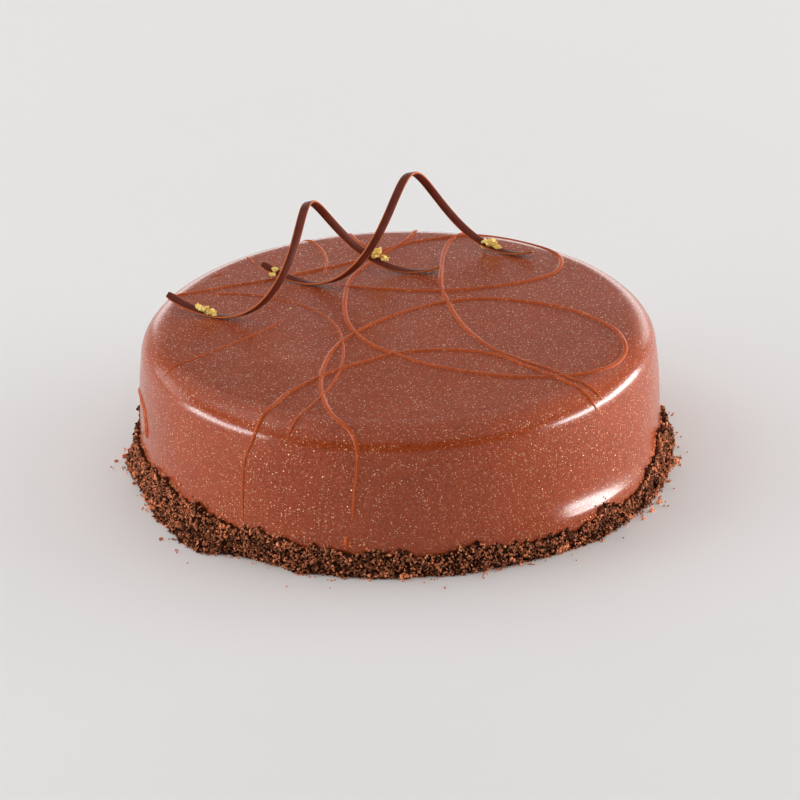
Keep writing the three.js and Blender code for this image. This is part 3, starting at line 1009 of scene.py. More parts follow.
@dataclass(frozen=True)
class Drizzle:
    """Raised threads that run over the glaze, and the drops at their ends."""

    glaze: GlazedBody
    width: float = 1.8
    height: float = 0.5
    sharpness: float = 1.3
    root: float = 0.4
    taper: float = 3.5
    tip: float = 0.35
    thinned: float = 0.6
    thinning_fall: float = 18.0
    step: float = 0.7
    unevenness: float = 0.16
    unevenness_length: float = 9.0
    phase: float = 3.1
    half_sections: int = 6
    drop_tip: float = 0.02
    drop_swell: Range = (0.85, 1.15)
    # Hanging drops: angle, height of the middle, length and size against a thread.
    drops: tuple[tuple[float, ...], ...] = ((196.4, 25.5, 6.5, 1.7), (-101.6, 12.8, 5.0, 1.0))

    def outline(self) -> list[tuple[float, float]]:
        """The profile: a crown whose feet run out flat on the glaze."""
        crown = []
        for index in range(-self.half_sections, self.half_sections + 1):
            share = index / self.half_sections
            rise = self.height * (1 - share * share) ** self.sharpness
            crown.append((rise, share * self.width / 2))
        return crown + [(-self.root, self.width / 2), (-self.root, -self.width / 2)]

    def path(self, thread: Thread, phase: float) -> Path:
        """Lays a thread on the glaze.

        Args:
            thread: The thread.
            phase: Where its unevenness starts, so that no two threads are alike.

        Returns:
            Its path.
        """
        path = Path()
        route = centripetal(thread.route, self.step)
        for index, point in enumerate(route):
            place, facing = self.glaze.on_map(point)
            from_end = min(index, len(route) - 1 - index) * self.step
            fallen = smoothstep(0.0, self.thinning_fall, self.glaze.cake_height - place.z)
            size = thread.scale * lerp(1.0, self.thinned, fallen)
            size *= lerp(self.tip, 1.0, min(1.0, from_end / self.taper))
            wave = Vector((index * self.step / self.unevenness_length, phase, 0.0))
            path.add(place, facing, size * (1 + self.unevenness * noise.noise(wave)))
        return path

    def drop(self, angle: float, height: float, length: float, size: float) -> Path:
        """A drop that hangs on the side, as a short thread that is thickest low down.

        Args:
            angle: The angle round the cake.
            height: The height of its middle.
            length: Its length.
            size: Its size against a thread.

        Returns:
            Its path.
        """
        path = Path()
        sections = 2 * self.half_sections
        for index in range(sections + 1):
            share = 2 * index / sections - 1
            level = height - share * length / 2
            place, facing = self.glaze.on_map(self.glaze.on_side(angle, level))
            swell = math.sqrt(max(self.drop_tip, 1 - share * share))
            swell *= lerp(*self.drop_swell, share / 2 + 0.5)
            path.add(place, facing, size * swell)
        return path

    def build(self, tree: bpy.types.NodeTree, finish: bpy.types.Material) -> bpy.types.Object:
        """Builds all threads and drops.

        Args:
            tree: The tree of sweep_tree().
            finish: The glaze of the threads.

        Returns:
            The piece.
        """
        threads = thread_routes(self.glaze)
        paths = [self.path(thread, self.phase * index) for index, thread in enumerate(threads)]
        paths += [self.drop(*drop) for drop in self.drops]
        outline = profile_object("thread_outline", self.outline())
        piece = swept("drizzle_threads", paths, outline, tree, finish)
        hand_over(piece, Slot.GLAZE, "cake_body")
        return piece


# ---- Crumb border ------------------------------------------------------------------

# The border's outline, as in the part's source: angle, outer radius and height.
BORDER = (
    (-180, 98, 15), (-166, 94.7, 16), (-151, 95.5, 16), (-136, 98.8, 14), (-126, 92.6, 12),
    (-117, 92.6, 13), (-108, 93.5, 10), (-95, 93.5, 11.5), (-85, 93.3, 8.5),
    (-76, 93.4, 11), (-62, 93.2, 9), (-51, 94.6, 9), (-44, 95.8, 12.5), (-34, 95.2, 8.5),
    (-23, 95.6, 14), (-13, 95.9, 19), (-4, 96.6, 17), (8, 99, 14), (30, 96, 12),
    (55, 95, 14), (80, 96.5, 11), (105, 95, 13), (130, 97.5, 12), (155, 96, 14),
    (180, 98, 15),
)


def border_at(angle: float) -> tuple[float, float]:
    """The border's outline.

    Args:
        angle: The angle round the cake.

    Returns:
        The outer radius and the height there.
    """
    wrapped = (angle + 180) % 360 - 180
    low, high = next(
        (low, high) for low, high in zip(BORDER, BORDER[1:]) if wrapped <= high[0]
    )
    share = smoothstep(low[0], high[0], wrapped)
    return lerp(low[1], high[1], share), lerp(low[2], high[2], share)


@dataclass(frozen=True)
class CrumbKind:
    """One kind of crumb: how fine it is, how it is shaped and how many lie on the bank.

    Densities are per square millimetre of the bank and sizes are half across. Crumbs
    with no subdivisions have eight faces. A crumb of several parts is lumps stuck
    together. Lumps and grains are noise, with a depth and a pace, and the steps are the
    distances in that noise from shape to shape and from part to part.
    """

    name: str
    subdivisions: int
    density: float
    smallest: float
    largest: float
    favour: float
    seed: int
    spread: float = 0.0
    shapes: int = 5
    parts: int = 1
    part_sizes: Range = (0.32, 0.62)
    shape_step: float = 7.3
    part_start: float = 1.7
    part_step: float = 3.1
    flatness: float = 0.8
    lump: float = 0.45
    lump_pace: float = 1.1
    grain: float = 0.35
    grain_paces: Range = (2.9, 6.1)


@dataclass(frozen=True)
class Strewing:
    """A geometry tree that strews crumbs over a bank and adds crumbs at listed places.

    Sizes in the tree are half across, in metres. A crumb is lifted by a share of its
    size, lies at least a share of its size above the floor, and has a tone of its own.
    """

    lift: float = 0.25
    resting: float = 0.55
    flattest: Triple = (0.65, 0.65, 0.65)
    fattest: Triple = (1.35, 1.35, 1.2)
    tone_span: Range = (0.25, 0.95)
    picks: int = 1000

    def raised(self, nodes: Nodes, geometry: object, lowest: object) -> Socket:
        """Brings what lies lower up to a height.

        Args:
            nodes: The tree's writer.
            geometry: What is raised.
            lowest: The height.

        Returns:
            The raised geometry.
        """
        place = nodes.out("GeometryNodeInputPosition")
        split = nodes.add("ShaderNodeSeparateXYZ", {0: place}).outputs
        height = nodes.math("MAXIMUM", split["Z"], lowest)
        level = nodes.out("ShaderNodeCombineXYZ", {"X": split["X"], "Y": split["Y"], "Z": height})
        return nodes.out("GeometryNodeSetPosition", {"Geometry": geometry, "Position": level})

    def tree(self) -> bpy.types.NodeTree:
        """Builds the tree.

        Returns:
            The tree, with named inputs for the density, sizes, seed, shapes and finish.
        """
        inputs = {
            "Bank": ("NodeSocketGeometry",),
            "Density": ("NodeSocketFloat",),
            "Smallest": ("NodeSocketFloat",),
            "Largest": ("NodeSocketFloat",),
            "Favour": ("NodeSocketFloat",),
            "Lift": ("NodeSocketFloat", self.lift),
            "Spread": ("NodeSocketFloat",),
            "Seed": ("NodeSocketInt",),
            "Shapes": ("NodeSocketCollection",),
            "Placed": ("NodeSocketObject",),
            "Finish": ("NodeSocketMaterial",),
        }
        outputs = {"Crumbs": "NodeSocketGeometry"}
        nodes, group, result = new_tree("strewn_crumbs", "GeometryNodeTree", inputs, outputs)
        given = group.outputs
        seeds = [given["Seed"]] + [nodes.math("ADD", given["Seed"], i) for i in range(1, 6)]

        strewn_inputs = {"Mesh": given["Bank"], "Density": given["Density"], "Seed": seeds[0]}
        strewn = nodes.add("GeometryNodeDistributePointsOnFaces", strewn_inputs).outputs
        chance = nodes.math("POWER", nodes.drawn(seeds[0], 0.0, 1.0), given["Favour"])
        growth = nodes.math("SUBTRACT", given["Largest"], given["Smallest"])
        size = nodes.math("ADD", nodes.math("MULTIPLY", growth, chance), given["Smallest"])
        size_inputs = {"Geometry": strewn["Points"], "Name": "size", "Value": size}
        sized = nodes.out("GeometryNodeStoreNamedAttribute", size_inputs, data_type="FLOAT")
        heaped = nodes.drawn(seeds[4], 0.0, given["Spread"])
        lift = nodes.math("ADD", nodes.math("MULTIPLY", size, given["Lift"]), heaped)
        push = nodes.scaled(strewn["Normal"], lift)
        pushed = nodes.out("GeometryNodeSetPosition", {"Geometry": sized, "Offset": push})

        by_hand = nodes.add("GeometryNodeObjectInfo", {"Object": given["Placed"]})
        spots = nodes.out("GeometryNodeMeshToPoints", {"Mesh": by_hand.outputs["Geometry"]})
        points = nodes.add("GeometryNodeJoinGeometry")
        for source in (pushed, spots):
            nodes.tree.links.new(source, points.inputs[0])
        own_size = nodes.stored("size")
        lowest = nodes.math("MULTIPLY", own_size, self.resting)
        shapes_inputs = {"Collection": given["Shapes"], "Separate Children": True}
        around = (math.tau, math.tau, math.tau)
        uneven = nodes.drawn(seeds[5], self.flattest, self.fattest, "FLOAT_VECTOR")
        placed = nodes.out("GeometryNodeInstanceOnPoints", {
            "Points": self.raised(nodes, points.outputs[0], lowest),
            "Instance": nodes.out("GeometryNodeCollectionInfo", shapes_inputs),
            "Pick Instance": True,
            "Instance Index": nodes.drawn(seeds[2], 0, self.picks, "INT"),
            "Rotation": nodes.drawn(seeds[1], (0.0, 0.0, 0.0), around, "FLOAT_VECTOR"),
            "Scale": nodes.scaled(uneven, own_size),
        })
        tone = nodes.ramp(nodes.drawn(seeds[3], 0.0, 1.0), 0.0, 1.0, *self.tone_span)
        toned = nodes.out(
            "GeometryNodeStoreNamedAttribute",
            {"Geometry": placed, "Name": "tone", "Value": tone},
            data_type="FLOAT",
            domain="INSTANCE",
        )
        real = nodes.out("GeometryNodeRealizeInstances", {"Geometry": toned})
        floored = self.raised(nodes, real, 0.0)
        nodes.feed(result, {"Crumbs": nodes.dressed(floored, given["Finish"])})
        return nodes.tree


# Clumps that stand out of the border: angle, share up its face, reach and rise.
CLUMPS = (
    (-152, 0.1, 3.0, 1.6), (-134, 0.12, 4.0, 1.2), (-112, 0.1, 3.0, 2.2),
    (-138, 0.9, 3.0, 1.3), (-123, 0.9, 3.0, 1.4), (-82, 0.8, 2.5, 0.9),
    (-75, 0.85, 2.5, 1.0), (-66, 0.8, 2.5, 1.0), (-57, 0.85, 3.0, 1.6),
    (-44, 0.85, 3.2, 1.9), (-34, 0.9, 3.0, 1.9), (-24, 0.85, 3.5, 1.8),
    (-14, 0.8, 3.0, 1.4), (-4, 0.75, 3.0, 1.2), (6, 0.8, 3.0, 1.2),
)

# Crumbs that lie loose beside the border: angle, distance from the axis, half across.
STRAYS = (
    (179, 101.9, 0.7), (177, 99.1, 1.05), (-180, 98, 0.7), (-170, 95.8, 0.7),
    (-144, 102, 0.7), (-148, 96, 0.5), (-133, 106.5, 0.5), (-112, 103.8, 0.5),
    (-104, 100.9, 0.44), (-86, 96.1, 0.5), (-55, 100.8, 0.44), (-42, 100.4, 0.5),
    (-33, 98.2, 0.7), (-29, 98, 0.9), (-25, 97.8, 1.05), (-18, 99.6, 0.5),
    (-15, 96.8, 0.7), (-6, 97.6, 1.35),
)

# Crumbs that cling to the glaze above the border: angle, height, half across.
CLINGING = (
    (-131, 14, 0.5), (-121, 15.3, 0.45), (-119, 12.6, 0.5), (-117.8, 11.8, 0.6),
    (-110.7, 11, 0.4), (-101, 13, 0.35), (-96.4, 14, 0.3), (-54.8, 16.2, 0.35),
    (-46.3, 13, 0.45),
)


@dataclass(frozen=True)
class Scatter:
    """Small groups of crumbs off the border, fewer the further away.

    A group lies past the border's edge by a start and a distance drawn at a rate. Its
    crumbs stand about its middle, so many degrees round and so far apart.
    """

    groups: int
    start: float
    furthest: float
    rate: float
    turned: float
    apart: float
    most_together: int = 5
    halves: Range = (0.2, 0.5)

    def draw(self, rng: random.Random, side: int) -> list[Triple]:
        """Draws the crumbs.

        Args:
            rng: The source of the random numbers.
            side: 0 for crumbs past the border's radius, 1 for crumbs past its height.

        Returns:
            The angle, the distance or height, and half the size of each.
        """
        crumbs = []
        for _ in range(self.groups):
            angle = rng.uniform(-180, 180)
            edge = border_at(angle)[side] + self.start
            away = edge + min(self.furthest, rng.expovariate(self.rate))
            for _ in range(rng.randint(1, self.most_together)):
                turned = angle + rng.gauss(0, self.turned)
                crumbs.append((turned, away + rng.gauss(0, self.apart), rng.uniform(*self.halves)))
        return crumbs


@dataclass(frozen=True)
class CrumbBorder:
    """The heaped border of crumbs: a rough bank with loose crumbs all over it."""

    glaze: GlazedBody
    skin: float = 1.15
    cover: float = 0.3
    trim: float = 1.5
    low: float = 0.22
    middle: float = 0.5
    lean: float = 0.6
    sink: float = 0.4
    columns: int = 1100
    rows: int = 26
    ragged: float = 2.6
    ragged_length: float = 5.0
    clump: float = 2.1
    clump_length: float = 3.4
    fine: float = 0.9
    fine_length: float = 0.95
    roughening: Range = (0.7, 1.2)
    crest: float = 2.4
    crest_length: float = 1.9
    # The bank's near-black tone is painted shade in the gaps between the crumbs.
    painted_gap_shade: float = 0.05
    strayed: Scatter = Scatter(150, -0.5, 9.0, 0.75, 0.55, 0.6)
    clung: Scatter = Scatter(200, -1.0, 5.0, 1.5, 0.45, 0.4)
    clinging_depth: float = 0.5
    seed: int = 5
    kinds: tuple[CrumbKind, ...] = (
        CrumbKind("finest", 0, 2.2, 0.2, 0.36, 1.2, 7, spread=1.2),
        CrumbKind("fine", 1, 0.95, 0.3, 0.5, 1.2, 11, spread=1.1),
        CrumbKind("small", 1, 0.75, 0.42, 0.7, 1.4, 17, spread=0.6),
        CrumbKind("middling", 1, 0.13, 0.65, 1.0, 1.8, 23, spread=0.4, parts=4),
        CrumbKind("coarse", 2, 0.012, 1.0, 1.7, 2.0, 37, parts=9),
    )

    def face(self, angle: float) -> list[tuple[float, float]]:
        """The border's smooth outer face.

        Args:
            angle: The angle round the cake.

        Returns:
            The radius and height of its points, from the foot up.
        """
        radius, height = border_at(angle)
        foot, rise = radius - self.trim, height - self.trim
        middle = rise * self.middle
        clinging = self.glaze.side_radius(middle) + self.skin
        top = self.glaze.side_radius(rise) + self.skin
        leaning = lerp(foot, clinging, self.lean)
        return [(foot, 0.0), (foot, rise * self.low), (leaning, middle), (top, rise)]

    def raised(self, angle: float, share: float, rise: float) -> float:
        """How far the clumps lift the face.

        Args:
            angle: The angle round the cake.
            share: The share of the way up the face.
            rise: The height of the face there.

        Returns:
            The distance.
        """
        lift = 0.0
        for clump_angle, clump_share, reach, height in CLUMPS:
            turned = (angle - clump_angle + 180) % 360 - 180
            aside = math.radians(turned) * self.glaze.top_radius
            apart = math.hypot(aside, (share - clump_share) * rise) / reach
            lift += height * math.exp(-apart * apart)
        return lift

    def face_point(self, angle: float, share: float) -> Vector:
        """A point on the rough outer face, clear of the glaze.

        Args:
            angle: The angle round the cake.
            share: The share of the way up.

        Returns:
            The point.
        """
        face = self.face(angle)
        level = share * (len(face) - 1)
        low = min(int(level), len(face) - 2)
        radius = lerp(face[low][0], face[low + 1][0], level - low)
        height = lerp(face[low][1], face[low + 1][1], level - low)
        outward = outward_at(angle)
        place = outward * radius + UP * height
        ragged = noise.noise(outward * radius / self.ragged_length)
        knock = self.clump * (0.5 - noise.voronoi(place / self.clump_length)[0][0])
        knock += self.fine * noise.noise(place / self.fine_length)
        knock *= lerp(*self.roughening, share)
        knock += self.raised(angle, share, face[-1][1])
        lean = outward + UP * share
        jag = noise.noise(outward * radius / self.crest_length)
        rise = self.ragged * ragged * share + self.crest * jag * share**3
        moved = place + lean.normalized() * knock + UP * rise
        moved.z = max(0.0, moved.z) if share > 0 else 0.0
        pooled = self.glaze.pooled(moved.z, angle)
        nearest = self.glaze.side_radius(moved.z) + pooled + self.cover
        flat = Vector((moved.x, moved.y, 0.0))
        if flat.length < nearest:
            flat *= nearest / flat.length
        return Vector((flat.x, flat.y, moved.z))

    def surface(self) -> list[Vector]:
        """The rough outer face.

        Returns:
            Its points, row by row from the foot up.
        """
        points = []
        for row in range(self.rows):
            share = row / (self.rows - 1)
            for column in range(self.columns):
                points.append(self.face_point(360 * column / self.columns, share))
        return points

    def bank(self, finish: bpy.types.Material) -> bpy.types.Object:
        """Builds the closed bank under the loose crumbs.

        Args:
            finish: The crumbs' material.

        Returns:
            The piece.
        """
        points, columns = self.surface(), self.columns
        for level in (self.rows - 1, 0):
            for column in range(columns):
                point = points[level * columns + column]
                outward = Vector((point.x, point.y, 0.0)).normalized()
                inner = self.glaze.side_radius(max(0.0, point.z)) - self.sink
                points.append(outward * inner + UP * point.z)
        faces = grid_faces(len(points) // columns, columns, closed=True)
        piece = mesh_object("crumb_bank", points, faces)
        # The bank takes a near-black tone: painted shade between the crumbs.
        store(piece, "tone", [self.painted_gap_shade] * len(points))
        turn_faces_out(piece)
        shade(piece, smooth=False)
        piece.data.materials.append(finish)
        return piece

    def shape_collection(self, kind: CrumbKind) -> bpy.types.Collection:
        """Makes a few knobbly crumbs, half across 1, as helpers.

        Args:
            kind: Their kind.

        Returns:
            The collection that holds them.
        """
        collection = bpy.data.collections.new(f"{kind.name}_shapes")
        rng = random.Random(kind.seed)
        for index in range(kind.shapes):
            work = bmesh.new()
            for part in range(kind.parts):
                pace = kind.part_start + kind.part_step * part
                self.morsel(work, kind, Vector((kind.seed, kind.shape_step * index, pace)), rng)
            mesh = bpy.data.meshes.new(f"{kind.name}_shape_{index}")
            work.to_mesh(mesh)
            work.free()
            collection.objects.link(bpy.data.objects.new(mesh.name, mesh))
        return collection

    def morsel(
        self, work: bmesh.types.BMesh, kind: CrumbKind, start: Vector, rng: random.Random
    ) -> None:
        """Adds one knobbly lump: a whole crumb, or one of the lumps stuck together in it.

        Args:
            work: The mesh that takes it.
            kind: The kind of crumb.
            start: Where its noise starts.
            rng: The source of the random numbers.
        """
        if kind.subdivisions > 0:
            made = bmesh.ops.create_icosphere(work, subdivisions=kind.subdivisions, radius=1.0)
        else:
            made = bmesh.ops.create_uvsphere(work, u_segments=4, v_segments=2, radius=1.0)
        alone = kind.parts == 1
        size = 1.0 if alone else rng.uniform(*kind.part_sizes)
        apart = Vector([rng.uniform(-1, 1) for _ in range(3)]) * (1 - size)
        for corner in made["verts"]:
            lump = kind.lump * noise.noise(corner.co * kind.lump_pace + start)
            grain = sum(noise.noise(corner.co * pace + start) for pace in kind.grain_paces)
            corner.co *= size * (1 + lump + kind.grain * grain)
            corner.co.z *= kind.flatness
            if not alone:
                corner.co += apart

    def loose(self) -> list[tuple[Vector, float]]:
        """The crumbs beside and above the border.

        Returns:
            A place and half a size for each.
        """
        rng = random.Random(self.seed)
        lying = [*STRAYS, *self.strayed.draw(rng, 0)]
        crumbs = [(outward_at(angle) * away, half) for angle, away, half in lying]
        for angle, height, half in [*CLINGING, *self.clung.draw(rng, 1)]:
            away = self.glaze.side_radius(height) + self.glaze.pooled(height, angle)
            away += half * self.clinging_depth
            crumbs.append((outward_at(angle) * away + UP * height, half))
        return crumbs

    def strew(
        self,
        kind: CrumbKind,
        tree: bpy.types.NodeTree,
        placed: list[tuple[Vector, float]],
        finish: bpy.types.Material,
    ) -> bpy.types.Object:
        """Strews one kind of crumb over the bank.

        Args:
            kind: The kind.
            tree: The tree of Strewing.
            placed: Further crumbs: a place and half a size for each.
            finish: Their material.

        Returns:
            The piece, all its crumbs joined in one mesh.
        """
        faces = grid_faces(self.rows, self.columns, closed=False)
        piece = mesh_object(f"{kind.name}_crumbs", self.surface(), faces)
        by_hand = mesh_object("placed_crumbs", [place for place, _ in placed], [])
        if placed:
            store(by_hand, "size", [size * MM for _, size in placed])
        shapes = self.shape_collection(kind)
        grow(piece, tree, {
            "Density": kind.density / MM**2,
            "Smallest": kind.smallest * MM,
            "Largest": kind.largest * MM,
            "Favour": kind.favour,
            "Spread": kind.spread * MM,
            "Seed": kind.seed,
            "Shapes": shapes,
            "Placed": by_hand,
            "Finish": finish,
        })
        for helper in list(shapes.objects):
            discard(helper)
        bpy.data.collections.remove(shapes)
        discard(by_hand)
        shade(piece, smooth=False)
        return piece

    def build(self, tree: bpy.types.NodeTree, finish: bpy.types.Material) -> None:
        """Builds the bank and every kind of crumb on it.

        Args:
            tree: The tree of Strewing.
            finish: The crumbs' material.
        """
        hand_over(self.bank(finish), Slot.CRUMB, "crumb_border")
        left = self.loose()
        for kind in self.kinds:
            coarsest = kind is self.kinds[-1]
            own = [crumb for crumb in left if crumb[1] <= kind.smallest or coarsest]
            left = [crumb for crumb in left if crumb[1] > kind.smallest]
            hand_over(self.strew(kind, tree, own, finish), Slot.CRUMB, "crumb_border")


# ---- Ribbon curls and gold leaf ------------------------------------------------------


@dataclass
class Flakes:
    """Crumpled flakes of leaf, torn round, that become one piece.

    Tears, folds and creases are noise, with a depth and a pace. All sizes but the
    thickness are shares of the ball that a flake lies in.
    """

    rng: random.Random
    thickness: float = 0.07
    half: float = 0.85
    corners: int = 7
    slant: float = 0.7
    astray: float = 0.35
    tear: float = 0.3
    tear_pace: float = 2.3
    fold: float = 1.3
    fold_pace: float = 1.5
    crease: float = 0.25
    crease_pace: float = 4.0
    sunk: float = 0.3
    variety: float = 50.0
    work: bmesh.types.BMesh = field(default_factory=bmesh.new)

    def add(self, placed: Matrix) -> None:
        """Adds one flake.

        Args:
            placed: The place, turn and half sizes of the ball that it lies in.
        """
        made = bmesh.ops.create_grid(
            self.work, x_segments=self.corners, y_segments=self.corners, size=self.half
        )
        start = Vector([self.rng.uniform(0, self.variety) for _ in range(3)])
        tilt = Matrix.Rotation(self.rng.uniform(0, math.tau), 4, "Z")
        tilt @= Matrix.Rotation(self.rng.uniform(-self.slant, self.slant), 4, "X")
        aside = [self.rng.uniform(-self.astray, self.astray) for _ in range(3)]
        put = placed @ Matrix.Translation(aside) @ tilt
        for corner in made["verts"]:
            flat = corner.co.copy()
            edge = max(abs(flat.x), abs(flat.y)) / max(0.01, flat.length)
            torn = edge * (1 + self.tear * noise.noise(flat * self.tear_pace + start))
            rise = abs(noise.noise(flat * self.fold_pace - start)) * self.fold
            rise += self.crease * noise.noise(flat * self.crease_pace + start)
            corner.co = put @ Vector((flat.x * torn, flat.y * torn, rise - self.sunk))

    def piece(self, name: str, finish: bpy.types.Material) -> bpy.types.Object:
        """Gives the flakes their thickness and makes them a piece.

        Args:
            name: The piece's name.
            finish: The leaf.

        Returns:
            The piece.
        """
        mesh = bpy.data.meshes.new(name)
        bmesh.ops.solidify(self.work, geom=self.work.faces[:], thickness=self.thickness * MM)
        bmesh.ops.recalc_face_normals(self.work, faces=self.work.faces)
        self.work.to_mesh(mesh)
        self.work.free()
        piece = bpy.data.objects.new(mesh.name, mesh)
        bpy.context.scene.collection.objects.link(piece)
        shade(piece, smooth=False)
        mesh.materials.append(finish)
        return piece


@dataclass(frozen=True)
class FallenLeaf:
    """Specks of leaf that fell on the glaze."""

    glaze: GlazedBody
    half_sizes: Triple = (0.36, 0.36, 0.18)
    on_top: tuple[MapPoint, ...] = ((-38, 12), (29, 29), (-52, 38), (21, 55))
    # Angle and height of each.
    on_side: tuple[MapPoint, ...] = ((-88, 13), (-98, 12.5))
    seed: int = 3

    def build(self, finish: bpy.types.Material) -> None:
        """Builds the specks.

        Args:
            finish: The leaf.
        """
        flakes = Flakes(random.Random(self.seed))
        sized = Matrix.Diagonal(Vector(self.half_sizes) * MM).to_4x4()
        for point in [*self.on_top, *(self.glaze.on_side(*spot) for spot in self.on_side)]:
            place, facing = self.glaze.on_map(point)
            turned = facing.to_track_quat("Z", "Y").to_matrix().to_4x4()
            flakes.add(Matrix.Translation(place * MM) @ turned @ sized)
        hand_over(flakes.piece("leaf_specks", finish), Slot.RIBBON)


@dataclass(frozen=True)
class Curl:
    """A ribbon wound once and a bit round a lying winding, with scraps of leaf.

    Angles along it are zero where its first foot stands, 180 at its peak and 360 at
    its second foot. A leaf holds its angle along the curl, its shift across the
    ribbon, its lift, and its half sizes along the ribbon, across it and up.
    """

    node: str
    middle: tuple[float, float]
    bearing: float
    depth: float
    rise: float
    pitch: float
    spread: float
    start: float
    end: float
    leaves: tuple[tuple[float, ...], ...]
    narrowing: float = 0.0
    drift: float = 0.0
    width: float = 3.0
    thickness: float = 0.9
    gap: float = 0.3
    tip: float = 0.7
    tip_turn: float = 6.0
    step: float = 2.0
    edge_bevel: float = 0.32
    edge_flat: float = 0.5
    flakes: int = 5

    def place(self, angle: float, glaze: GlazedBody) -> Vector:
        """The middle of the ribbon.

        Args:
            angle: The angle along the curl.
            glaze: The body that it stands on.

        Returns:
            The place.
        """
        turn = math.radians(angle)
        past = turn - math.pi
        bearing = math.radians(self.bearing)
        along = self.pitch * past / math.tau + self.spread * past**3 + self.drift * past**2
        near = (self.depth - self.narrowing * past) * math.sin(turn)
        lowest = glaze.cake_height + self.gap + self.thickness / 2
        return Vector((
            self.middle[0] + along * math.cos(bearing) + near * math.sin(bearing),
            self.middle[1] + along * math.sin(bearing) - near * math.cos(bearing),
            lowest + self.rise * (1 - math.cos(turn)),
        ))

    def directions(self, angle: float, glaze: GlazedBody) -> tuple[Vector, Vector]:
        """How the ribbon lies.

        Args:
            angle: The angle along the curl.
            glaze: The body that it stands on.

        Returns:
            The ways across the ribbon and out of its face.
        """
        ahead = self.place(angle + 1, glaze) - self.place(angle - 1, glaze)
        tangent = ahead.normalized()
        bearing, turn = math.radians(self.bearing), math.radians(angle)
        outward = Vector((
            math.sin(bearing) * math.sin(turn) / self.depth,
            -math.cos(bearing) * math.sin(turn) / self.depth,
            -math.cos(turn) / self.rise,
        ))
        across = outward.cross(tangent).normalized()
        return across, tangent.cross(across)

    def path(self, glaze: GlazedBody) -> Path:
        """The ribbon's path, narrowed at both ends.

        Args:
            glaze: The body that it stands on.

        Returns:
            The path, whose facing is the way out of the ribbon's face.
        """
        path = Path()
        count = round((self.end - self.start) / self.step)
        for index in range(count + 1):
            angle = lerp(self.start, self.end, index / count)
            from_end = min(angle - self.start, self.end - angle)
            girth = lerp(self.tip, 1.0, math.sqrt(min(1.0, from_end / self.tip_turn)))
            path.add(self.place(angle, glaze), self.directions(angle, glaze)[1], girth)
        return path

    def ribbon(
        self, glaze: GlazedBody, tree: bpy.types.NodeTree, finish: bpy.types.Material
    ) -> bpy.types.Object:
        """Builds the ribbon.

        Args:
            glaze: The body that it stands on.
            tree: The tree of sweep_tree().
            finish: The ribbon's material.

        Returns:
            The piece, whose "edge" attribute is 1 along its thin edges.
        """
        half, thin = self.width / 2, self.thickness / 2
        inner, rim = half - self.edge_bevel, thin * self.edge_flat
        outline = [(-thin, -inner), (-thin, 0.0), (-thin, inner), (-rim, half), (rim, half),
                   (thin, inner), (thin, 0.0), (thin, -inner), (rim, -half), (-rim, -half)]
        helper = profile_object("ribbon_outline", outline)
        store(helper, "edge", [float(abs(side) == half) for _, side in outline])
        name = self.node.replace("curl", "ribbon")
        return swept(name, [self.path(glaze)], helper, tree, finish)

    def leaf(self, glaze: GlazedBody, finish: bpy.types.Material) -> bpy.types.Object:
        """Builds the crumpled scraps of leaf on the ribbon.

        Args:
            glaze: The body that the ribbon stands on.
            finish: The leaf.

        Returns:
            The piece.
        """
        flakes = Flakes(random.Random(self.node))
        for angle, shift, lift, *half_sizes in self.leaves:
            across = self.directions(angle, glaze)[0]
            sideways = Vector((across.x, across.y, 0.0)).normalized()
            along = sideways.cross(UP)
            centre = self.place(angle, glaze) + sideways * shift + UP * lift
            turned = Matrix((along, sideways, UP)).transposed().to_4x4()
            sized = Matrix.Diagonal(Vector(half_sizes) * MM).to_4x4()
            for _ in range(self.flakes):
                flakes.add(Matrix.Translation(centre * MM) @ turned @ sized)
        return flakes.piece(self.node.replace("curl", "leaf"), finish)


CURLS = (
    Curl(
        "curl_left", middle=(-31.4, 22.3), bearing=27.5, depth=14, rise=17,
        narrowing=0.74, pitch=69.3, spread=0.144, drift=0.3, start=-51, end=386,
        leaves=(
            (-16, 0, 1.1, 2.2, 1.3, 2.0), (-7, 0, 1.0, 2.2, 1.2, 1.3),
            (-2, 0.7, 0.5, 0.9, 0.9, 0.6), (320, 0, 2.6, 1.8, 1.4, 2.4),
            (324, 0, 4.6, 1.3, 1.1, 1.6), (331, 0, 2.6, 1.4, 1.1, 1.6),
        ),
    ),
    Curl(
        "curl_right", middle=(4.3, 45.4), bearing=17.7, depth=14.2, rise=17.6,
        pitch=67.1, spread=0.163, start=-46, end=385,
        leaves=(
            (-33, 0, 0.8, 1.6, 1.2, 0.9), (-33, 1.7, -0.6, 1.2, 1.1, 1.0),
            (337, 0, 0.6, 3.0, 1.7, 2.7), (346, 0, 0.9, 1.6, 1.2, 1.3),
        ),
    ),
)


# ---- Floor, light and camera ---------------------------------------------------------


@dataclass(frozen=True)
class Softbox:
    """A soft square light at a direction and distance from the cake's middle."""

    name: str
    azimuth: float
    elevation: float
    width: float
    height: float
    power: float
    distance: float = 1.5

    def build(self) -> None:
        """Builds the light, facing the cake."""
        data = bpy.data.lights.new(self.name, "AREA")
        data.shape = "RECTANGLE"
        data.size, data.size_y = self.width, self.height
        data.energy = self.power
        light = bpy.data.objects.new(self.name, data)
        level = math.cos(math.radians(self.elevation))
        rise = math.sin(math.radians(self.elevation))
        place = (outward_at(self.azimuth) * level + UP * rise) * self.distance
        light.location = place
        light.rotation_euler = place.to_track_quat("Z", "Y").to_euler()
        bpy.context.scene.collection.objects.link(light)


